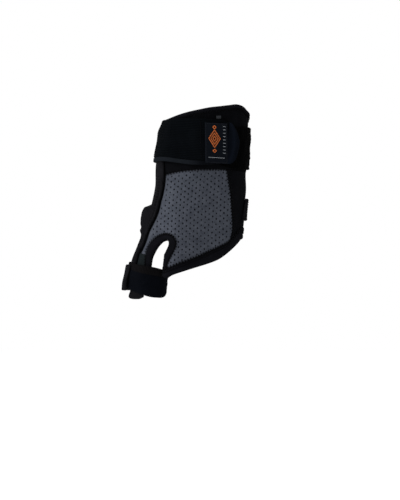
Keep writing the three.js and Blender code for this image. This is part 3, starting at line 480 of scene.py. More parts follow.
def cloth(node, slot, material, posts, inner, outer, edge=1.2, relief=None, tone=None, closed=False):
    """One closed piece of cloth over a grid of posts, rounded at its free edges.

    inner and outer are its faces' distances from the hollow, relief(along, across) is what its outer
    face stands proud, and tone(along, across) is a share that its material reads."""
    feet, out = posts
    inner, outer = (np.broadcast_to(np.asarray(side, float), feet.shape[:2]) for side in (inner, outer))
    middle, half = (inner + outer) / 2, (outer - inner) / 2
    surface = feet + out * outer[..., None]
    along = lengths(surface.transpose(1, 0, 2)).T
    across = lengths(surface)
    near = np.minimum(across, across[-1:] - across)
    share = rounded(near, edge)
    if not closed:
        share = share * rounded(np.minimum(along, along[:, -1:] - along), edge)
    along = along - along[:, -1:] / 2
    across = across - across[-1:] / 2
    raised = middle + half * share
    if relief is not None:
        raised = raised + relief(along, across) * share
    tones = np.zeros(along.shape) if tone is None else tone(along, across)

    rows, columns = along.shape
    top = np.arange(rows * columns).reshape(rows, columns)
    if closed:
        top[:, -1] = top[:, 0]
    under = top + rows * columns
    under[[0, -1]] = top[[0, -1]]
    if not closed:
        under[:, [0, -1]] = top[:, [0, -1]]
    points = np.concatenate([(feet + out * raised[..., None]).reshape(-1, 3),
                             (feet + out * (middle - half * share)[..., None]).reshape(-1, 3)])
    quads = lambda grid: np.stack([grid[:-1, :-1], grid[:-1, 1:], grid[1:, 1:], grid[1:, :-1]], -1)
    faces = np.concatenate([quads(top).reshape(-1, 4), quads(under).reshape(-1, 4)[:, ::-1]])
    marks = np.stack([along, across, tones], -1).reshape(-1, 3)
    corners = quads(np.arange(rows * columns).reshape(rows, columns)).reshape(-1, 4)
    corners = np.concatenate([corners, corners[:, ::-1]])
    used, faces = np.unique(faces, return_inverse=True)
    thing = make(f"{node}_cloth", points[used], faces.reshape(-1, 4), marks[corners], material)
    dress(thing, slot, node)
    width, length = along[:, -1].max() * 2, across[-1].max() * 2
    cells = np.linalg.norm(np.cross(surface[1:, 1:] - surface[:-1, :-1],
                                    surface[1:, :-1] - surface[:-1, 1:]), axis=-1) / 2
    min(cells.sum(), width * length)


class Bundle:
    """Many small tubes joined in one mesh."""

    def __init__(self):
        self.points, self.faces, self.marks, self.count = [], [], [], 0

    def tube(self, line, ups, radius, sides=5):
        """A thread along a line of points, closed at both ends. ups point away from the cloth."""
        tangent = unit(np.gradient(line, axis=0))
        side = unit(np.cross(tangent, ups))
        up = np.cross(side, tangent)
        turn = np.linspace(0, 2 * np.pi, sides, endpoint=False)
        ring = np.cos(turn)[None, :, None] * side[:, None] + np.sin(turn)[None, :, None] * up[:, None]
        radii = np.broadcast_to(np.asarray(radius, float), (len(line),))
        self.points.append((line[:, None] + ring * radii[:, None, None]).reshape(-1, 3))
        number = np.arange(len(line) * sides).reshape(len(line), sides) + self.count
        beside = np.roll(number, -1, axis=1)
        quads = np.stack([number[:-1], beside[:-1], beside[1:], number[1:]], -1).reshape(-1, 4)
        self.faces += [*quads[:, ::-1].tolist(), number[0].tolist(), number[-1][::-1].tolist()]
        way = np.broadcast_to(lengths(line)[:, None], number.shape)
        mark = np.stack([way, np.broadcast_to(turn * radii[:, None], number.shape), way * 0], -1)
        self.marks.append(mark.reshape(-1, 3))
        self.count += number.size

    def build(self, name, slot, material):
        marks = np.concatenate(self.marks)
        order = np.concatenate([np.asarray(face) for face in self.faces])
        return dress(make(name, np.concatenate(self.points), self.faces, marks[order], material), slot)


class Seam:
    """A line on the cloth, with the directions out of the cloth and to the line's side."""

    def __init__(self, points, out):
        self.points, self.out = points, out
        self.way = lengths(points)
        self.length = self.way[-1]

    def at(self, way):
        read = lambda rows: np.stack([np.interp(way, self.way, rows[:, k]) for k in range(3)], -1)
        line, out = read(self.points), unit(read(self.out))
        side = unit(np.cross(out, np.gradient(line, axis=0)))
        return line, out, side


def seam(chart, angle, z, off):
    feet, out = chart.posts(angle, z)
    return Seam(feet + out * np.asarray(off + 0 * feet[..., 0])[..., None], out)


def zigzag(bundle, line, pitch, reach, radius, lift=0.25, shift=0.0):
    """One thread that runs to and fro across a seam."""
    turns = max(2, round(line.length / pitch))
    phase = np.linspace(0, turns, turns * 8 + 1)
    points, out, side = line.at(phase / turns * line.length)
    to_and_fro = 2 * np.abs(2 * (phase % 1) - 1) - 1
    height = radius * 0.4 + lift * (1 - to_and_fro**2)
    bundle.tube(points + side * (to_and_fro * reach + shift)[:, None] + out * height[:, None], out, radius)


def running(bundle, line, pitch, radius, shift=0.0, dip=0.5):
    """One thread that dips in and out of the cloth."""
    turns = max(2, round(line.length / pitch))
    phase = np.linspace(0, turns, turns * 6 + 1)
    points, out, side = line.at(phase / turns * line.length)
    height = radius * 0.2 + dip * np.sin(2 * np.pi * phase)
    bundle.tube(points + side * shift + out * height[:, None], out, radius, 5)


# Materials
class Cloth:
    """A procedural cloth on Principled BSDF, which reads the place on the cloth in millimetres."""

    def __init__(self, name, rough, sheen, sheen_tint=(1, 1, 1)):
        self.material = bpy.data.materials.new(name)
        self.material.use_nodes = True
        self.nodes, self.links = self.material.node_tree.nodes, self.material.node_tree.links
        self.shader = self.nodes["Principled BSDF"]
        self.shader.inputs["Roughness"].default_value = rough
        self.shader.inputs["Specular IOR Level"].default_value = 0.01
        self.shader.inputs["Sheen Weight"].default_value = sheen
        self.shader.inputs["Sheen Roughness"].default_value = 0.5
        self.shader.inputs["Sheen Tint"].default_value = (*sheen_tint, 1)
        place = self.nodes.new("ShaderNodeAttribute")
        place.attribute_name = "cloth"
        split = self.nodes.new("ShaderNodeSeparateXYZ")
        self.links.new(place.outputs["Vector"], split.inputs[0])
        self.along, self.across, self.tone = split.outputs
        self.object = self.nodes.new("ShaderNodeTexCoord").outputs["Object"]

    def math(self, operation, first, second=0.0, third=0.0):
        node = self.nodes.new("ShaderNodeMath")
        node.operation = operation
        for socket, value in zip(node.inputs, (first, second, third)):
            if isinstance(value, (int, float)):
                socket.default_value = value
            else:
                self.links.new(value, socket)
        return node.outputs[0]

    def wave(self, axis, pitch):
        return self.math("SINE", self.math("MULTIPLY", axis, 2 * np.pi / pitch))

    def ribs(self, axis, pitch):
        """Rounded ribs from 0 to 1."""
        return self.math("ABSOLUTE", self.math("SINE", self.math("MULTIPLY", axis, np.pi / pitch)))

    def weave(self, first, second):
        """Threads that pass over and under, from 0 to 1."""
        crossed = self.math("MULTIPLY", self.wave(self.along, first), self.wave(self.across, second))
        return self.math("MULTIPLY_ADD", crossed, 0.5, 0.5)

    def noise(self, size, detail=2.0):
        """Cloudy unevenness, from 0 to 1, of a size in millimetres."""
        node = self.nodes.new("ShaderNodeTexNoise")
        node.inputs["Scale"].default_value = 1 / (size * METRES)
        node.inputs["Detail"].default_value = detail
        self.links.new(self.object, node.inputs["Vector"])
        return node.outputs["Fac"]

    def sum(self, *shares):
        """A sum of (value, share) pairs."""
        total = 0.0
        for value, share in shares:
            total = self.math("MULTIPLY_ADD", value, share, total)
        return total

    def blend(self, share, low, high):
        node = self.nodes.new("ShaderNodeMix")
        node.data_type = "RGBA"
        self.links.new(share, node.inputs["Factor"])
        for socket, color in ((node.inputs[6], low), (node.inputs[7], high)):
            if isinstance(color, tuple):
                socket.default_value = (*color, 1)
            else:
                self.links.new(color, socket)
        return node.outputs[2]

    def finish(self, height, color, depth=0.25, strength=1.0):
        """Links the relief, in shares of depth millimetres, and the colour."""
        bump = self.nodes.new("ShaderNodeBump")
        bump.inputs["Strength"].default_value = strength
        bump.inputs["Distance"].default_value = depth * METRES
        self.links.new(height, bump.inputs["Height"])
        self.links.new(bump.outputs["Normal"], self.shader.inputs["Normal"])
        self.links.new(color, self.shader.inputs["Base Color"])
        return self.material


def grey_mesh():
    """Smooth foam-backed cloth with pricked holes, darkened towards near-black by painted shade."""
    cloth = Cloth("grey_mesh", 0.9, 0.01)
    grain = cloth.noise(1.1, 4.0)
    height = cloth.sum((cloth.weave(0.9, 0.9), 0.5), (grain, 0.5))
    clouds = cloth.sum((cloth.noise(9.0), 0.6), (cloth.noise(3.2, 3.0), 0.7), (grain, 0.9))
    clouds = cloth.math("ADD", clouds, -0.6)
    color = cloth.blend(clouds, (0.016, 0.0185, 0.025), (0.052, 0.057, 0.070))
    # The tone darkens the holes' floors and mouths towards near-black: painted shade.
    color = cloth.blend(cloth.tone, color, (0.0008, 0.0010, 0.0017))
    return cloth.finish(height, color, 0.2)


def knit(name, dark, pale, wale=1.1, course=0.9, rough=0.95, sheen=0.0):
    cloth = Cloth(name, rough, sheen)
    height = cloth.sum((cloth.weave(wale, course), 0.6), (cloth.noise(1.5, 3.0), 0.4))
    clouds = cloth.sum((cloth.noise(7.0), 0.5), (height, 0.5))
    return cloth.finish(height, cloth.blend(clouds, dark, pale), 0.18)


def ribbed(name, dark, pale, pitch, lengthwise=False, rough=0.9, sheen=0.0, toned=None, depth=0.25):
    """Woven tape with ribs across its length, or along it."""
    cloth = Cloth(name, rough, sheen)
    rib = cloth.ribs(cloth.across if lengthwise else cloth.along, pitch)
    cross = cloth.ribs(cloth.along if lengthwise else cloth.across, pitch * 0.55)
    height = cloth.sum((rib, 0.6), (cross, 0.25), (cloth.noise(1.2, 3.0), 0.15))
    # The colour follows the relief and is darker in the rib grooves: painted shade, mixed with random
    # mottling from the noise.
    shade = cloth.sum((height, 0.6), (cloth.noise(8.0), 0.4))
    color = cloth.blend(shade, dark, pale)
    if toned is not None:
        color = cloth.blend(cloth.tone, color, cloth.blend(shade, tuple(0.5 * c for c in toned), toned))
    return cloth.finish(height, color, depth)


def brushed(name, dark, pale, sheen, tint, toned=None, size=0.9):
    """Loop fabric with a short brushed pile."""
    cloth = Cloth(name, 0.95, sheen, tint)
    fleece = cloth.noise(size, 5.0)
    height = cloth.sum((fleece, 0.8), (cloth.noise(0.5, 2.0), 0.2))
    shade = cloth.sum((fleece, 0.7), (cloth.noise(6.0), 0.3))
    color = cloth.blend(shade, dark, pale)
    if toned is not None:
        color = cloth.blend(cloth.tone, color, cloth.blend(cloth.ribs(cloth.along, 1.3), dark, toned))
    return cloth.finish(height, color, 0.5)


def thread(name, dark, pale, rough=0.7, pitch=0.7):
    """Twisted thread: the ribs wind round it."""
    cloth = Cloth(name, rough, 0.0)
    twist = cloth.ribs(cloth.math("ADD", cloth.along, cloth.across), pitch)
    return cloth.finish(twist, cloth.blend(twist, dark, pale), 0.08)


GREY_MESH = grey_mesh()
BLACK_KNIT = knit("black_knit", (0.0003, 0.0003, 0.0004), (0.0030, 0.0032, 0.0041))
BINDING = ribbed("binding", (0.0004, 0.0004, 0.0006), (0.0048, 0.0049, 0.0066), 1.1, depth=0.35)
WEBBING = ribbed("webbing", (0.0005, 0.0005, 0.0007), (0.0074, 0.0072, 0.0086), 1.3, depth=0.4)
ELASTIC = ribbed("elastic", (0.0001, 0.0001, 0.0001), (0.0018, 0.0024, 0.0033), 1.5, lengthwise=True,
                 depth=0.4)
GREY_STRIP = ribbed("grey_strip", (0.0004, 0.0005, 0.0008), (0.0028, 0.0033, 0.0045), 1.2, lengthwise=True,
                    toned=(0.0064, 0.0077, 0.0100))
NAVY_LOOP = brushed("navy_loop", (0.0004, 0.0005, 0.0009), (0.0022, 0.0027, 0.0042), 0.001,
                    (0.75, 0.85, 1.0), toned=(0.0040, 0.0036, 0.0038))
BLACK_LOOP = brushed("black_loop", (0.0001, 0.0001, 0.0001), (0.0006, 0.0006, 0.0007), 0.0, (1, 1, 1))
PATCH = ribbed("patch", (0.0010, 0.0013, 0.0022), (0.0040, 0.0050, 0.0072), 0.7, depth=0.12)
TAPE = ribbed("tape", (0.0022, 0.0030, 0.0034), (0.0078, 0.0102, 0.0112), 1.3)
# tab_loop's toned colour is a painted sheen: a lighter bluish band that stands in for a highlight
TAB_LOOP = ribbed("tab_loop", (0.0007, 0.001, 0.0018), (0.0022, 0.0030, 0.0050), 1.0,
                  toned=(0.0040, 0.0058, 0.0100))
TAG = ribbed("tag", (0.010, 0.011, 0.012), (0.028, 0.030, 0.034), 0.7, depth=0.12)
BLACK_THREAD = thread("black_thread", (0.0006, 0.0006, 0.0008), (0.0035, 0.0035, 0.0042))
BORDER_THREAD = thread("border_thread", (0.002, 0.0025, 0.0035), (0.008, 0.009, 0.012))
GREY_THREAD = thread("grey_thread", (0.06, 0.065, 0.07), (0.22, 0.235, 0.25))
ORANGE_THREAD = thread("orange_thread", (0.16, 0.035, 0.010), (0.50, 0.135, 0.038), rough=0.6)


# Depth of the grey panel's soft folds at feet on the hollow
def fold_depth(feet):
    total = np.zeros(feet.shape[:-1])
    for across, height, slope, reach, spread, depth in zip(*PANEL_FOLDS.values()):
        along = feet[..., 0] / SPLINT_WIDTH - across
        off = feet[..., 2] / SPLINT_HEIGHT - height - slope * along
        total += depth * np.exp(-((along / reach) ** 2) - (off / spread) ** 2)
    return total * PANEL_FOLD_DEPTH


# The grey panel, cut and pricked flat as it shows from the front: first its holes, then the net of
# points between them, then its edge and its seam
HOLE_PITCH = 6.6
HOLE_ROW = 2.35
HOLE_WIDE, HOLE_TALL = 0.53, 0.70
LIP = 1.55
HOLE_DEPTH = 1.3
HOLE_SIDES = 8
HOLE_MARGIN = 2.0
HOLE_DIMPLE = 0.12
FLOOR_SHARE = 0.8
PLAIN_MARGIN = 1.9
EDGE_RINGS = (0.12, 0.42, 0.8, 1.3)
PANEL_CELL = 1.15
LINING_CELL = 3.5
ROW_SHARE = 0.87
PANEL_EDGE = 1.0
SEAM_SINK = 0.45
SEAM_SINK_REACH = 3.0


def panel_outline():
    """The grey panel's outline from the front, anticlockwise, on its outer face."""
    tongue = trace(OPENING_TONGUE_SIDE, 60)
    web = trace(OPENING_HAND_SIDE, 70)[::-1]
    pocket = trace(POCKET_SEAM, 110)[::-1]
    ulnar = trace(ULNAR_SEAM, 80)
    first, last = (seen(HAND, line[0], line[1])[0] for line in (web[-1], ulnar[0]))
    below = np.linspace(first, last, 90)
    distal = HAND.at(below, distal_seam(below), WALL + 0 * below)[:, [0, 2]]
    start, end = (seen(HAND, line[0], line[1])[0] for line in (ulnar[-1], pocket[0]))
    above = np.linspace(start, end, 80)
    cuff = HAND.at(above, cuff_seam(above), WALL + 0 * above)[:, [0, 2]]
    foot = straight(pocket[-1], tongue[0], 8)
    line = np.concatenate([tongue[:-1], web[:-1], distal[:-1], ulnar[:-1], cuff[:-1], pocket[:-1], foot[:-1]])
    kept = [line[0]]
    for point in line[1:]:
        if np.linalg.norm(point - kept[-1]) > 0.35:
            kept.append(point)
    return np.array(kept)


def within(points, outline):
    """Which points lie inside an outline, by counting the edges that a ray crosses."""
    x, z = points[:, 0][:, None], points[:, 1][:, None]
    x0, z0 = outline[:, 0], outline[:, 1]
    x1, z1 = np.roll(x0, -1), np.roll(z0, -1)
    spans = (z0 > z) != (z1 > z)
    crossing = x0 + (z - z0) / np.where(z1 == z0, 1e-9, z1 - z0) * (x1 - x0)
    return (spans & (x < crossing)).sum(1) % 2 == 1


def from_line(points, outline):
    """Distance of points to an outline."""
    start, way = outline, np.roll(outline, -1, 0) - outline
    best = np.full(len(points), 1e9)
    for a, d in zip(start, way):
        t = np.clip(((points - a) @ d) / max(d @ d, 1e-9), 0, 1)
        best = np.minimum(best, np.linalg.norm(points - a - t[:, None] * d, axis=1))
    return best


def lattice(outline, across, up, warp=None):
    """Points of a staggered lattice inside an outline."""
    low, high = outline.min(0) - 4, outline.max(0) + 4
    rows = np.arange(low[1], high[1], up)
    points = np.concatenate([
        np.stack([np.arange(low[0], high[0], across) + (row % 2) * across / 2,
                  np.full(len(np.arange(low[0], high[0], across)), z)], -1) for row, z in enumerate(rows)])
    if warp is not None:
        points = warp(points)
    return points[within(points, outline)]


def hole_warp(points):
    """The rows of holes follow the pull of the cloth."""
    x, z = points[:, 0], points[:, 1]
    pull = 0.04 * x + 1.2 * np.sin(x / 26 + z / 45)
    lean = 0.05 * z + 0.9 * np.sin(z / 22 + 0.6)
    return np.stack([x + lean, z + pull], -1)


def triangulate(points, border):
    """Triangles of the points inside their first `border` points, which are the outline."""
    edges = [(k, (k + 1) % border) for k in range(border)]
    found = delaunay_2d_cdt([tuple(point) for point in points], edges, [], 1, 1e-5)
    number = np.array([origin[0] for origin in found[3]])
    return number[np.array([face for face in found[2] if len(face) == 3])]


def front_posts(points):
    """Feet and directions of the outer face's places that show at x and z from the front."""
    feet, out = np.empty((len(points), 3)), np.empty((len(points), 3))
    by_thumb = points[:, 0] < np.interp(points[:, 1], [-64, -8], [-32, -27.5])
    for chart, chosen in ((THUMB, by_thumb), (HAND, ~by_thumb)):
        feet[chosen], out[chosen] = chart.posts(*seen(chart, points[chosen, 0], points[chosen, 1]))
    return feet, out


def mesh_panel():
    outline = panel_outline()
    border = len(outline)
    tangent = unit(np.roll(outline, -1, 0) - np.roll(outline, 1, 0))
    inward = np.stack([-tangent[:, 1], tangent[:, 0]], -1)
    rings = []
    for distance in EDGE_RINGS:
        ring = outline + inward * distance
        rings.append(ring[(from_line(ring, outline) > distance * 0.93) & within(ring, outline)])
    rings = np.concatenate(rings)
    centres = lattice(outline, HOLE_PITCH, HOLE_ROW, hole_warp)
    centres = centres[from_line(centres, outline) > HOLE_MARGIN]
    turn = np.linspace(0, 2 * np.pi, HOLE_SIDES, endpoint=False)
    oval = np.stack([np.cos(turn) * HOLE_WIDE, np.sin(turn) * HOLE_TALL], -1)
    draw = np.random.default_rng(7)
    size = draw.uniform(0.82, 1.12, len(centres))[:, None, None]
    mouth = (centres[:, None] + oval * size).reshape(-1, 2)
    lip = (centres[:, None] + oval * size * LIP).reshape(-1, 2)
    plain = lattice(outline, PANEL_CELL, PANEL_CELL * ROW_SHARE)
    plain = plain[from_line(plain, outline) > PLAIN_MARGIN]
    nearest = np.full(len(plain), 1e9)
    for centre in centres:
        nearest = np.minimum(nearest, np.linalg.norm(plain - centre, axis=1))
    plain = plain[nearest > HOLE_TALL * LIP * 1.4]
    flat = np.concatenate([outline, rings, centres, mouth, lip, plain])
    first_centre = border + len(rings)
    first_mouth = first_centre + len(centres)
    triangles = triangulate(flat, border)

    far = from_line(flat, outline)
    far[:border] = 0
    feet, out = front_posts(flat)
    share = rounded(far, PANEL_EDGE)
    puff = SEAM_SINK * np.exp(-((far / SEAM_SINK_REACH) ** 2))
    uneven = fold_depth(feet) + ripple(feet, 3, 16, 0.3) + ripple(feet, 5, 7, 0.07) + puff
    height = WALL / 2 * (1 + share) - uneven * share
    is_centre = np.zeros(len(flat), bool)
    is_centre[first_centre:first_mouth] = True
    is_mouth = np.zeros(len(flat), bool)
    is_mouth[first_mouth:first_mouth + len(mouth)] = True
    height[is_mouth] -= HOLE_DIMPLE
    height[is_centre] -= HOLE_DEPTH
    points = feet + out * height[:, None]

    # Each hole goes down from its mouth to a smaller floor, which the material darkens with painted shade
    floor = len(flat) + np.arange(len(mouth))
    centre_of = np.repeat(centres, HOLE_SIDES, axis=0)
    floor_flat = centre_of + (mouth - centre_of) * FLOOR_SHARE
    floor_feet, floor_out = front_posts(floor_flat)
    floor_height = height[is_mouth] - HOLE_DEPTH + 0.15
    points = np.concatenate([points, floor_feet + floor_out * floor_height[:, None]])
    lower = np.arange(len(flat))
    lower[is_mouth] = floor
    caps = is_centre[triangles].any(1)
    faces = [tuple(face) for face in triangles[~caps]] + [tuple(lower[face]) for face in triangles[caps]]
    for face in triangles[caps]:
        a, b = (face[k] for k in range(3) if not is_centre[face[k]])
        if is_centre[face[1]]:
            a, b = b, a
        faces.append((a, b, lower[b], lower[a]))

    # The lining shares the outline's points
    inner_flat = lattice(outline, LINING_CELL, LINING_CELL * ROW_SHARE)
    inner_flat = inner_flat[from_line(inner_flat, outline) > 1.5]
    near_ring = outline + inward * 0.8
    near_ring = near_ring[(from_line(near_ring, outline) > 0.75) & within(near_ring, outline)]
    inner_flat = np.concatenate([outline, near_ring, inner_flat])
    inner_far = from_line(inner_flat, outline)
    inner_feet, inner_out = front_posts(inner_flat)
    inner_share = rounded(inner_far, PANEL_EDGE)
    inner_points = inner_feet + inner_out * (WALL / 2 * (1 - inner_share))[:, None]
    inner = triangulate(inner_flat, border)
    number = np.concatenate([np.arange(border), len(points) + np.arange(len(inner_flat) - border)])
    points = np.concatenate([points, inner_points[border:]])
    faces += [tuple(number[face][::-1]) for face in inner]

    # The third mark is the holes' painted shade: full on their floors and centres, three quarters at their
    # mouths
    depth = np.zeros(len(points))
    depth[floor] = 1
    depth[:len(flat)][is_centre] = 1
    depth[:len(flat)][is_mouth] = 0.75
    marks = np.concatenate([points[:, [0, 2]], depth[:, None]], -1)
    order = np.concatenate([np.asarray(face) for face in faces])
    thing = make("mesh_panel_cloth", points, faces, marks[order], GREY_MESH)
    dress(thing, "grey_mesh", "mesh_panel")
    corners = points[triangles]
    sides = corners[:, 1:] - corners[:, :1]
    area = np.linalg.norm(np.cross(sides[:, 0], sides[:, 1]), axis=1).sum() / 2


def soft(grid, seed, depth, size):
    """A soft unevenness of that depth and size on a grid of posts."""
    return -ripple(grid[0], seed, size, depth)


def ridge(at, middle, width):
    """A soft ridge, one high, along a line."""
    return np.exp(-((at - middle) / width) ** 2)


def crests(at, pitch):
    """Woven ribs from minus one to one, with a crest at 0."""
    return np.cos(at * 2 * np.pi / pitch)


def waves(at, pitch):
    """The same ribs, but they start level at 0."""
    return np.sin(at * 2 * np.pi / pitch)


def climb(angle, turn):
    """Share of a climb over what lies between two angles."""
    return rise(angle, turn["start"], turn["up"]) * (1 - rise(angle, turn["down"], turn["end"]))


def top_of_seam(chart, spots):
    feet, _ = chart.posts(spots[:, 0], spots[:, 1])
    return np.stack([spots[:, 0], cuff_seam(HAND.angle_of(feet))], -1)


ULNAR_LINE = seen_along(HAND, ULNAR_SEAM, 90)
ULNAR_LINE[0, 1] = distal_seam(ULNAR_LINE[0, 0])
ULNAR_LINE[-1, 1] = cuff_seam(ULNAR_LINE[-1, 0])
ULNAR_END = 360 + ULNAR_BACK_ANGLE


def edge_round(start, end, height, steps=90):
    """An edge of places between two hand angles at a height that depends on the angle."""
    angles = paced(HAND, start, end, height, np.linspace(0, 1, steps))
    return np.stack([angles, height(angles)], -1)


def ulnar_panel():
    bottom = edge_round(ULNAR_LINE[0, 0], ULNAR_END, distal_seam)
    top = edge_round(ULNAR_LINE[-1, 0], ULNAR_END, cuff_seam)
    posts = HAND.posts(*fill(bottom, top, ULNAR_LINE, straight(bottom[-1], top[-1]), 44, 70, 1.0, (50, 65)))
    folds = lambda along, across: soft(posts, 11, 0.35, 20) - 0.25 * ridge(along, 6, 2.2)
    cloth("ulnar_panel", "black_knit", BLACK_KNIT, posts, 0, WALL, 1.0, folds)


def palm_thumb_edge():
    below = np.linspace(PALM_OPENING["height"][0], PALM_OPENING["height"][-1], 30, endpoint=False)
    above = np.linspace(THENAR_SEAM["height"][0], THENAR_SEAM["height"][-1], 50)
    angles = np.concatenate([follow(PALM_OPENING["height"], PALM_OPENING["angle"], below),
                             follow(THENAR_SEAM["height"], THENAR_SEAM["angle"], above)])
    return np.stack([angles, np.concatenate([below, above]) * SPLINT_HEIGHT], -1)


def palm_panel():
    right = palm_thumb_edge()
    bottom = edge_round(ULNAR_BACK_ANGLE, right[0, 0], distal_seam)
    top = edge_round(ULNAR_BACK_ANGLE, right[-1, 0], cuff_seam)
    right[0], right[-1] = bottom[-1], top[-1]
    posts = HAND.posts(*fill(bottom, top, straight(bottom[0], top[0]), right, 70, 70, 1.0, (80, 75)))
    creases = lambda along, across: soft(posts, 13, 0.45, 24)
    cloth("palm_panel", "black_knit", BLACK_KNIT, posts, 0, WALL, 1.0, creases)


def thenar_palm_edge(z):
    share = z / SPLINT_HEIGHT
    feet, _ = HAND.posts(follow(THENAR_SEAM["height"], THENAR_SEAM["angle"], share), z)
    by_tongue = follow(TONGUE_PALM_EDGE["height"], TONGUE_PALM_EDGE["angle"], share)
    return np.stack([np.where(share < THENAR_SEAM["height"][0], by_tongue, THUMB.angle_of(feet)), z], -1)


POCKET_LINE = seen_along(THUMB, [POCKET_SEAM_TIP[0], *POCKET_SEAM], 120)


def thenar_panel():
    right = POCKET_LINE.copy()
    right[-1:] = top_of_seam(THUMB, right[-1:])
    left = thenar_palm_edge(right[:, 1])
    top = top_of_seam(THUMB, straight(left[-1], right[-1]))
    left[-1], right[-1] = top[0], top[-1]
    posts = THUMB.posts(*fill(straight(left[0], right[0]), top, left, right, 50, 80, 1.0, (50, 85)))
    cloth("thenar_panel", "black_knit", BLACK_KNIT, posts, 0, WALL, 1.0,
          lambda along, across: soft(posts, 17, 0.4, 22))


# The cuff's cloth runs this far up into its binding
CUFF_TUCK = 0.7


def cuff_binding_foot(angle):
    return cuff_top(angle) - CUFF_BINDING_WIDTH


def cuff_panel():
    high = lambda angle: cuff_binding_foot(angle) + CUFF_TUCK
    posts = HAND.posts(*band(HAND, 0, 360, cuff_seam, high, 240, 60, 0.8))
    cloth("cuff_panel", "black_knit", BLACK_KNIT, posts, 0, WALL, 0.8,
          lambda along, across: soft(posts, 19, 0.3, 20), closed=True)


def bound_edge(across):
    """A folded tape is fuller at its free edge and has a shallow channel by its seam."""
    return 0.25 * ridge(across, -1.6, 1.4) - 0.22 * ridge(across, 1.4, 0.7)


def cuff_binding():
    posts = HAND.posts(*band(HAND, 0, 360, cuff_binding_foot, cuff_top, 300, 10, 1.6))
    flipped = lambda along, across: bound_edge(-across) + 0.07 * waves(along, 2.4)
    cloth("cuff_binding", "binding", BINDING, posts, -BINDING_PROUD, WALL + BINDING_PROUD, 1.6, flipped,
          closed=True)


def distal_binding():
    posts = HAND.posts(*band(HAND, 206, 566, distal_edge, distal_seam, 420, 16, 1.8))
    relief = lambda along, across: (0.3 * ridge(across, -2.0, 1.5) - 0.3 * ridge(across, 0.7, 0.6)
                                    + 0.06 * waves(along, 2.2))
    cloth("distal_binding", "binding", BINDING, posts, -BINDING_PROUD, WALL + BINDING_PROUD, 1.8, relief,
          closed=True)


def opening_lines(steps=70):
    """The thumb opening's edge and the binding's rim, each by the chart that sees it."""
    tongue = [trace([ends[0], *line], steps) for ends, line in (
        (OPENING_RIM_TIP, OPENING_TONGUE_RIM), (OPENING_TONGUE_TIP, OPENING_TONGUE_SIDE))]
    hand = [trace(line, steps)[::-1] for line in (OPENING_HAND_RIM, OPENING_HAND_SIDE)]
    return tongue, hand


def thumb_opening_binding():
    parts = shares(12, 5, 1.7)
    feet, out = [], []
    for chart, (rim, side), cut in zip((THUMB, HAND), opening_lines(), (slice(0, -1), slice(0, None))):
        points = mix(rim[None], side[None], parts[:, None, None])[:, cut]
        grid = chart.posts(*seen(chart, points[..., 0], points[..., 1]))
        feet.append(grid[0])
        out.append(grid[1])
    posts = np.concatenate(feet, 1), np.concatenate(out, 1)
    relief = lambda along, across: 0.3 * ridge(across, -1.2, 1.1) + 0.08 * waves(along, 1.9)
    cloth("thumb_opening_binding", "binding", BINDING, posts, -BINDING_PROUD, WALL + BINDING_PROUD, 1.7,
          relief)


def palm_strap_middle(angle):
    return follow(PALM_STRAP_MIDDLE["angle"], PALM_STRAP_MIDDLE["height"], angle) * SPLINT_HEIGHT


def pocket_bulge(angle, z, seam_angle):
    """How far the pocket stands off the wall where the palm strap runs under it."""
    turn = POCKET_BULGE_TURN
    off = (z - palm_strap_middle(PALM_STRAP_MIDDLE["angle"][-1])) / (PALM_STRAP_WIDTH / 2)
    most = (mix(turn["mouth"], 1, rise(angle - POCKET_PALM_ANGLE, 0, turn["full"]))
            * rise(seam_angle - angle, turn["end"], turn["down"]))
    return POCKET_BULGE * np.clip(follow(POCKET_LOBE["off"], POCKET_LOBE["share"], off), 0, most)


def radial_stay_pocket():
    line = seen_along(THUMB, [POCKET_SEAM_TIP[0], *POCKET_SEAM, *POCKET_SEAM_TOP[1:]], 120)
    palm_side = np.stack([np.full(len(line), POCKET_PALM_ANGLE), line[:, 1]], -1)
    angle, z = fill(straight(palm_side[0], line[0]), straight(palm_side[-1], line[-1]), palm_side, line,
                    40, 220, 1.3, (24, 130))
    posts = THUMB.posts(angle, z)
    bulge = pocket_bulge(angle, z, np.interp(z, line[:, 1], line[:, 0]))
    bottom = OVER_WALL + bulge
    lobe = bulge / POCKET_BULGE
    folds = lobe * (0.35 * np.sin(angle * 2 * np.pi / 11 + z / 17) - 0.25)
    stay = lambda along, across: (0.3 * np.exp(-((along - 1) / 4.5) ** 4) + folds + soft(posts, 23, 0.25, 14)
                                  + 0.07 * waves(across, 1.8))
    cloth("radial_stay_pocket", "webbing", WEBBING, posts, bottom, bottom + POCKET_THICKNESS - 0.1, 1.3, stay)


def under_wrist_strap(angle, z):
    past = rise(z / SPLINT_HEIGHT, STRAP_PAST_POCKET["start"], STRAP_PAST_POCKET["end"])
    pocket = climb(angle, STRAP_OVER_POCKET) * (1 - past)
    loop = rise(angle, STRAP_OVER_LOOP["start"], STRAP_OVER_LOOP["up"])
    over = OVER_WALL + BINDING_PROUD
    return over + pocket * (OVER_POCKET - over) + loop * (OVER_LOOP - over)


strap_top = edge_of(WRIST_STRAP_EDGES, "top")
strap_bottom = edge_of(WRIST_STRAP_EDGES, "bottom")
STRAP_START, STRAP_END = WRIST_STRAP_EDGES["angle"][[0, -1]]


def wrist_strap():
    low = lambda angle: strap_bottom(angle) + STRAP_EDGE_WIDTH
    angle, z = band(HAND, STRAP_START, STRAP_END, low, strap_top, 150, 132, 1.1)
    posts = HAND.posts(angle, z)
    bottom = under_wrist_strap(angle, z)
    pull = 0.35 * np.sin(angle * 0.21 + z * 0.12) * ridge(angle, 232, 22)
    relief = lambda along, across: 0.13 * crests(across, 1.6) + soft(posts, 29, 0.3, 22) + pull
    cloth("wrist_strap", "elastic", ELASTIC, posts, bottom, bottom + STRAP_THICKNESS, 1.1, relief)


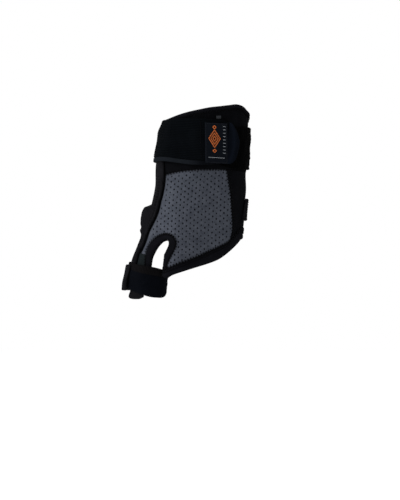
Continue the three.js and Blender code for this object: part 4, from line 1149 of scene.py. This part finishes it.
def wrist_strap_edge():
    high = lambda angle: strap_bottom(angle) + STRAP_EDGE_WIDTH
    angle, z = band(HAND, STRAP_START, STRAP_END, strap_bottom, high, 240, 18, 1.1)
    posts = HAND.posts(angle, z)
    bottom = under_wrist_strap(angle, z)
    relief = lambda along, across: 0.12 * crests(across, 1.3) + soft(posts, 29, 0.3, 22)
    # The strip's tone makes it paler round to angle 240, fading to its plain colour by angle 268, near the
    # front's middle.
    fading_tone = lambda along, across: 1 - rise(angle, 240, 268)
    cloth("wrist_strap_edge", "grey_strip", GREY_STRIP, posts, bottom, bottom + STRAP_THICKNESS, 1.1,
          relief, fading_tone)


def ulnar_loop_panel():
    low, high = edge_of(LOOP_PANEL_EDGES, "bottom"), edge_of(LOOP_PANEL_EDGES, "top")
    posts = HAND.posts(*band(HAND, LOOP_PANEL_EDGES["angle"][0], 360 + STRAP_START, low, high, 160, 70, 1.2))
    cloth("ulnar_loop_panel", "black_loop", BLACK_LOOP, posts, OVER_WALL, OVER_WALL + STRAP_THICKNESS, 1.2,
          lambda along, across: soft(posts, 31, 0.35, 9) + soft(posts, 32, 0.25, 3))


TAB_START = STRAP_END + 0.35


def wrist_strap_tab():
    round_end = seen_along(HAND, TAB_ROUND, 60)
    base = straight((TAB_START, strap_bottom(TAB_START)), (TAB_START, strap_top(TAB_START)), 60)
    low, high = straight(base[0], round_end[0]), straight(base[-1], round_end[-1])
    posts = HAND.posts(*fill(low, high, base, round_end, 22, 60, 1.1, (10, 36)))
    # The tone paints a bluish sheen band down the tab's middle: a painted highlight.
    painted_sheen = lambda along, across: 0.6 * ridge(along, 0.5, 2.2)
    cloth("wrist_strap_tab", "navy_loop", TAB_LOOP, posts, OVER_LOOP, OVER_LOOP + STRAP_THICKNESS, 1.1,
          lambda along, across: soft(posts, 37, 0.25, 10) + 0.06 * waves(along, 1.2), painted_sheen)


def corner_places(corners, u, v):
    """Front places inside four corners, by shares along and up."""
    low_left, low_right, high_right, high_left = np.array(corners) * [SPLINT_WIDTH, SPLINT_HEIGHT]
    u, v = (np.asarray(part, float)[..., None] for part in (u, v))
    return mix(mix(low_left, low_right, u), mix(high_left, high_right, u), v)


def patch(node, slot, material, corners, bottom, thickness, size, relief=None):
    u, v = shares(24, size[0], 0.5), shares(40, size[1], 0.5)
    places = corner_places(corners, *np.meshgrid(u, v))
    angle, z = seen(HAND, places[..., 0], places[..., 1])
    under = bottom(angle, z)
    cloth(node, slot, material, HAND.posts(angle, z), under, under + thickness, 0.5, relief)


def label_patch():
    patch("label_patch", "patch", PATCH, PATCH_CORNERS,
          lambda angle, z: under_wrist_strap(angle, z) + STRAP_THICKNESS + GAP, PATCH_THICKNESS, (18, 36))


def cuff_tag():
    bottom = lambda angle, z: OVER_WALL + 0 * angle
    patch("cuff_tag", "tag", TAG, TAG_CORNERS, bottom, TAG_THICKNESS, (4, 2.8))


def palm_strap():
    start, end = PALM_STRAP_MIDDLE["angle"][[0, -1]]
    edge = lambda side: lambda angle: palm_strap_middle(angle) + side * PALM_STRAP_WIDTH / 2
    angle, z = band(HAND, start, end, edge(-1), edge(1), 220, 40, 1.1)
    posts = HAND.posts(angle, z)
    bottom = OVER_WALL + PALM_STRAP_BRIDGE * climb(angle, PALM_STRAP_OVER_WEB)
    ribs = lambda along, across: (0.1 * crests(across, 2.2) + soft(posts, 41, 0.3, 20)
                                  + 0.25 * ridge(np.abs(across), 8.6, 0.8))
    cloth("palm_strap", "webbing", WEBBING, posts, bottom, bottom + STRAP_THICKNESS, 1.1, ribs)


def under_thumb_strap(angle):
    tongue = climb(np.asarray(angle) % 360, THUMB_STRAP_OVER_TONGUE)
    return mix(OVER_WALL + BINDING_PROUD, max(OVER_POCKET, THUMB_STRAP_UNDER), tongue)


def thumb_strap():
    low, high = edge_of(THUMB_STRAP_EDGES, "bottom"), edge_of(THUMB_STRAP_EDGES, "top")
    angle, z = band(THUMB, 0, 360, low, high, 260, 60, 1.1)
    posts = THUMB.posts(angle, z)
    bottom = under_thumb_strap(angle)
    rim = lambda along, across: rise(across, 5.6, 6.8)
    pile = lambda along, across: soft(posts, 44, 0.18, 3) * (1 - rim(along, across))
    relief = lambda along, across: (soft(posts, 43, 0.3, 12) + pile(along, across)
                                    - 0.3 * ridge(across, 6.2, 0.5))
    cloth("thumb_strap", "navy_loop", NAVY_LOOP, posts, bottom, bottom + THUMB_STRAP_THICKNESS, 0.9,
          relief, rim, closed=True)


def thumb_strap_fold():
    parts = shares(40, 21, 1.1)
    height = mix(THUMB_FOLD_EDGES["height"][0], THUMB_FOLD_EDGES["height"][-1], parts)
    near = follow(THUMB_FOLD_EDGES["height"], THUMB_FOLD_EDGES["near"], height)
    far = follow(THUMB_FOLD_EDGES["height"], THUMB_FOLD_EDGES["far"], height)
    angle = mix(near[:, None], far[:, None], shares(50, 28, 1.1)[None])
    z = np.broadcast_to(height[:, None] * SPLINT_HEIGHT, angle.shape)
    posts = THUMB.posts(angle, z)
    low, high = THUMB_FOLD_EDGES["height"][[0, -1]]
    bottom = (under_thumb_strap(angle) + THUMB_STRAP_THICKNESS + GAP
              + THUMB_FOLD_FLARE * rise(high - z / SPLINT_HEIGHT, 0, high - low))
    ribs = lambda along, across: 0.12 * crests(along, 1.8) + soft(posts, 47, 0.25, 14)
    cloth("thumb_strap_fold", "webbing", WEBBING, posts, bottom, bottom + THUMB_STRAP_THICKNESS, 0.9, ribs)


def thumb_strap_end():
    start, end = THUMB_END_EDGES["angle"][[0, -1]]
    low, high = edge_of(THUMB_END_EDGES, "bottom"), edge_of(THUMB_END_EDGES, "top")
    angle, z = band(THUMB, start, end, low, high, 50, 40, 0.9)
    lift = THUMB_END_LIFT
    bottom = (OVER_WALL + THUMB_END_FLARE * (1 - rise(angle, lift["turn"], lift["end"]))
              * rise(lift["start"] - z / SPLINT_HEIGHT, 0, lift["start"] - lift["full"]))
    slant = lambda along, across: 0.12 * crests(along + across, 1.9)
    cloth("thumb_strap_end", "webbing", WEBBING, THUMB.posts(angle, z), bottom,
          bottom + THUMB_STRAP_THICKNESS, 0.9, slant)


# The tape runs this far up over the tongue's raw end
TAPE_TUCK = 0.9


def tongue_end_tape():
    outer = seen_along(THUMB, POCKET_SEAM_TIP, 20) + [0, TAPE_TUCK]
    inner = seen_along(THUMB, OPENING_TONGUE_TIP, 20) + [0, TAPE_TUCK]
    posts = THUMB.posts(*fill(straight(outer[0], inner[0]), straight(outer[-1], inner[-1]), outer, inner,
                              30, 24, 0.8, (8, 11)))
    ribs = lambda along, across: 0.12 * crests(along, 1.3)
    cloth("tongue_end_tape", "webbing", TAPE, posts, 0, WALL + 0.3, 0.8, ribs)


# Stitches. A zigzag's pitch, its reach to each side, and the thread's radius and lift
ULNAR_ZIGZAG = (3.0, 2.2, 0.5, 0.3)
DISTAL_ZIGZAG = (2.8, 1.8, 0.40, 0.3)
DISTAL_TRIM = (1.7, 0.5, 0.2, 0.1)
CUFF_ZIGZAG = (2.8, 1.5, 0.3, 0.3)
CUFF_BINDING_ZIGZAG = (2.8, 1.3, 0.3, 0.3)
OPENING_ZIGZAG = (2.3, 1.3, 0.3, 0.3)


def stitches():
    black = Bundle()
    proud = WALL + BINDING_PROUD
    zigzag(black, seam(HAND, ULNAR_LINE[:, 0], ULNAR_LINE[:, 1], WALL - 0.3), *ULNAR_ZIGZAG)
    round_hand = paced(HAND, 206, 566, distal_seam, np.linspace(0, 1, 500))
    zigzag(black, seam(HAND, round_hand, distal_seam(round_hand), WALL + 0.15), *DISTAL_ZIGZAG)
    zigzag(black, seam(HAND, round_hand, distal_seam(round_hand) - 2.6, proud + 0.1), *DISTAL_TRIM)
    round_cuff = np.linspace(0, 360, 500)
    zigzag(black, seam(HAND, round_cuff, cuff_seam(round_cuff), WALL - 0.3), *CUFF_ZIGZAG)
    zigzag(black, seam(HAND, round_cuff, cuff_binding_foot(round_cuff), WALL + 0.2), *CUFF_BINDING_ZIGZAG)
    running(black, seam(HAND, round_cuff, cuff_binding_foot(round_cuff) - 3, WALL - 0.1), 3.0, 0.28)
    rims, outs = [], []
    for chart, (_, side) in zip((THUMB, HAND), opening_lines(120)):
        line = chart.posts(*seen(chart, side[:, 0], side[:, 1]))
        rims.append(line[0] + line[1] * (WALL + 0.15))
        outs.append(line[1])
    zigzag(black, Seam(np.concatenate(rims), np.concatenate(outs)), *OPENING_ZIGZAG)
    for turn in (-1.9 * 3.2, -3.6 * 3.2):
        line = seam(THUMB, POCKET_LINE[:, 0] + turn, POCKET_LINE[:, 1], OVER_WALL + POCKET_THICKNESS - 0.05)
        running(black, line, 2.6, 0.22, dip=0.35)
    for at in (-2.2, 2.6):
        z = np.linspace(6, 38, 60)
        angle, height = seen(HAND, np.full(60, at), z)
        off = under_wrist_strap(angle, height) + STRAP_THICKNESS + 0.05
        running(black, seam(HAND, angle, height, off), 2.4, 0.3, dip=0.4)
    for angle in (18.5, 22.0):
        up = palm_strap_middle(angle) + np.linspace(-8.5, 8.5, 40)
        running(black, seam(HAND, np.full(40, angle), up, OVER_WALL + STRAP_THICKNESS), 2.2, 0.25)
    black.build("black_stitches", "binding", BLACK_THREAD)


# The label's border and a generic motif of diamonds and bars, sewn in thread. Places are shares of
# the label, and a thread's sizes are those of a zigzag.
MOTIF_ACROSS = 0.42
MOTIF_UP = 0.61
DIAMOND_HALVES = (0.25, 0.16, 0.07)
DIAMOND_TALL = 0.86
DIAMOND_THREAD = (0.5, 0.36, 0.15, 0.12)
SMALL_DIAMOND = (0.075, 0.04)
SMALL_DIAMONDS_UP = (0.31, 0.89)
SMALL_THREAD = (0.5, 0.35, 0.15, 0.1)
BARS = 9
BARS_FROM = 0.26
BAR_PITCH = 0.082
BAR_ENDS = (0.80, 0.90)
BAR_THREAD = (0.5, 0.32, 0.14, 0.1)
FOOT_LINE = ((0.14, 0.14), (0.86, 0.14))
FOOT_THREAD = (0.5, 0.25, 0.13, 0.1)
BORDER_LOW, BORDER_HIGH = (0.045, 0.02), (0.955, 0.98)
BORDER_STITCH = (0.6, 0.55, 0.17, 0.1)


def label_line(points, off):
    places = corner_places(PATCH_CORNERS, points[:, 0], points[:, 1])
    angle, z = seen(HAND, places[:, 0], places[:, 1])
    return seam(HAND, angle, z, under_wrist_strap(angle, z) + STRAP_THICKNESS + GAP + PATCH_THICKNESS + off)


def polyline(points, steps=24):
    """Evenly many points on each side of a line through the given points."""
    return np.concatenate([straight(a, b, steps)[:-1] for a, b in zip(points, points[1:])] + [[points[-1]]])


def diamond(middle, half_width, half_height):
    x, z = middle
    return np.array([[x, z + half_height], [x + half_width, z], [x, z - half_height], [x - half_width, z],
                     [x, z + half_height]])


def label_motif():
    orange, grey, border = Bundle(), Bundle(), Bundle()
    for half in DIAMOND_HALVES:
        outline = diamond((MOTIF_ACROSS, MOTIF_UP), half, half * DIAMOND_TALL)
        zigzag(orange, label_line(polyline(outline), 0), *DIAMOND_THREAD)
    for z in SMALL_DIAMONDS_UP:
        zigzag(orange, label_line(polyline(diamond((MOTIF_ACROSS, z), *SMALL_DIAMOND)), 0), *SMALL_THREAD)
    for row in range(BARS):
        ends = [(x, BARS_FROM + row * BAR_PITCH) for x in BAR_ENDS]
        zigzag(grey, label_line(straight(*ends, 12), 0), *BAR_THREAD)
    zigzag(grey, label_line(straight(*FOOT_LINE, 40), 0), *FOOT_THREAD)
    (left, low), (right, high) = BORDER_LOW, BORDER_HIGH
    frame_line = np.array([[left, low], [right, low], [right, high], [left, high], [left, low]])
    zigzag(border, label_line(polyline(frame_line, 40), -0.1), *BORDER_STITCH)
    orange.build("label_motif_orange", "patch", ORANGE_THREAD)
    grey.build("label_motif_grey", "patch", GREY_THREAD)
    border.build("label_border", "patch", BORDER_THREAD)


for build in (mesh_panel, ulnar_panel, palm_panel, thenar_panel, cuff_panel, cuff_binding, distal_binding,
              thumb_opening_binding, radial_stay_pocket, wrist_strap, wrist_strap_edge, ulnar_loop_panel,
              wrist_strap_tab, label_patch, cuff_tag, palm_strap, thumb_strap, thumb_strap_fold,
              thumb_strap_end, tongue_end_tape, stitches, label_motif):
    build()


# Stage, light and camera
FLOOR_HEIGHT = -0.32
VIEW_MIDDLE = (-0.00225, -0.0765)
VIEW_HEIGHT = 0.45
VIEW_DISTANCE = 2.4


def pale_floor():
    mesh = bpy.data.meshes.new("floor")
    half = 4.0
    corners = [(-half, -half), (half, -half), (half, half), (-half, half)]
    mesh.from_pydata([(x, y, FLOOR_HEIGHT) for x, y in corners], [], [(0, 1, 2, 3)])
    material = bpy.data.materials.new("floor")
    material.use_nodes = True
    material.node_tree.nodes["Principled BSDF"].inputs["Base Color"].default_value = (0.99, 0.99, 0.99, 1)
    material.node_tree.nodes["Principled BSDF"].inputs["Roughness"].default_value = 1.0
    material.node_tree.nodes["Principled BSDF"].inputs["Specular IOR Level"].default_value = 0.0
    mesh.materials.append(material)
    floor = bpy.data.objects.new("floor", mesh)
    bpy.context.scene.collection.objects.link(floor)


def softbox(name, place, aim, size, power):
    lamp = bpy.data.lights.new(name, "AREA")
    lamp.shape = "RECTANGLE"
    lamp.size, lamp.size_y = size
    lamp.energy = power
    light = bpy.data.objects.new(name, lamp)
    light.location = place
    way = np.array(aim) - np.array(place)
    light.rotation_mode = "QUATERNION"
    light.rotation_quaternion = Vector(way).to_track_quat("-Z", "Y")
    bpy.context.scene.collection.objects.link(light)


def studio():
    world = bpy.data.worlds.new("studio")
    bpy.context.scene.world = world
    world.use_nodes = True
    world.node_tree.nodes["Background"].inputs["Color"].default_value = (1, 1, 1, 1)
    world.node_tree.nodes["Background"].inputs["Strength"].default_value = 1.0
    softbox("key", (-1.6, -0.75, 0.6), (0, 0, -0.03), (0.9, 0.9), 38)
    softbox("fill", (0.6, -1.6, 0.9), (0, 0, -0.03), (1.0, 1.0), 5)
    bpy.context.scene.view_settings.view_transform = "Standard"


def camera():
    lens = bpy.data.cameras.new("camera")
    lens.sensor_width = 36
    lens.lens = lens.sensor_width * VIEW_DISTANCE / VIEW_HEIGHT
    eye = bpy.data.objects.new("camera", lens)
    eye.location = (VIEW_MIDDLE[0], -VIEW_DISTANCE, VIEW_MIDDLE[1])
    eye.rotation_euler = (np.pi / 2, 0, 0)
    bpy.context.scene.collection.objects.link(eye)
    bpy.context.scene.camera = eye


pale_floor()
studio()
camera()
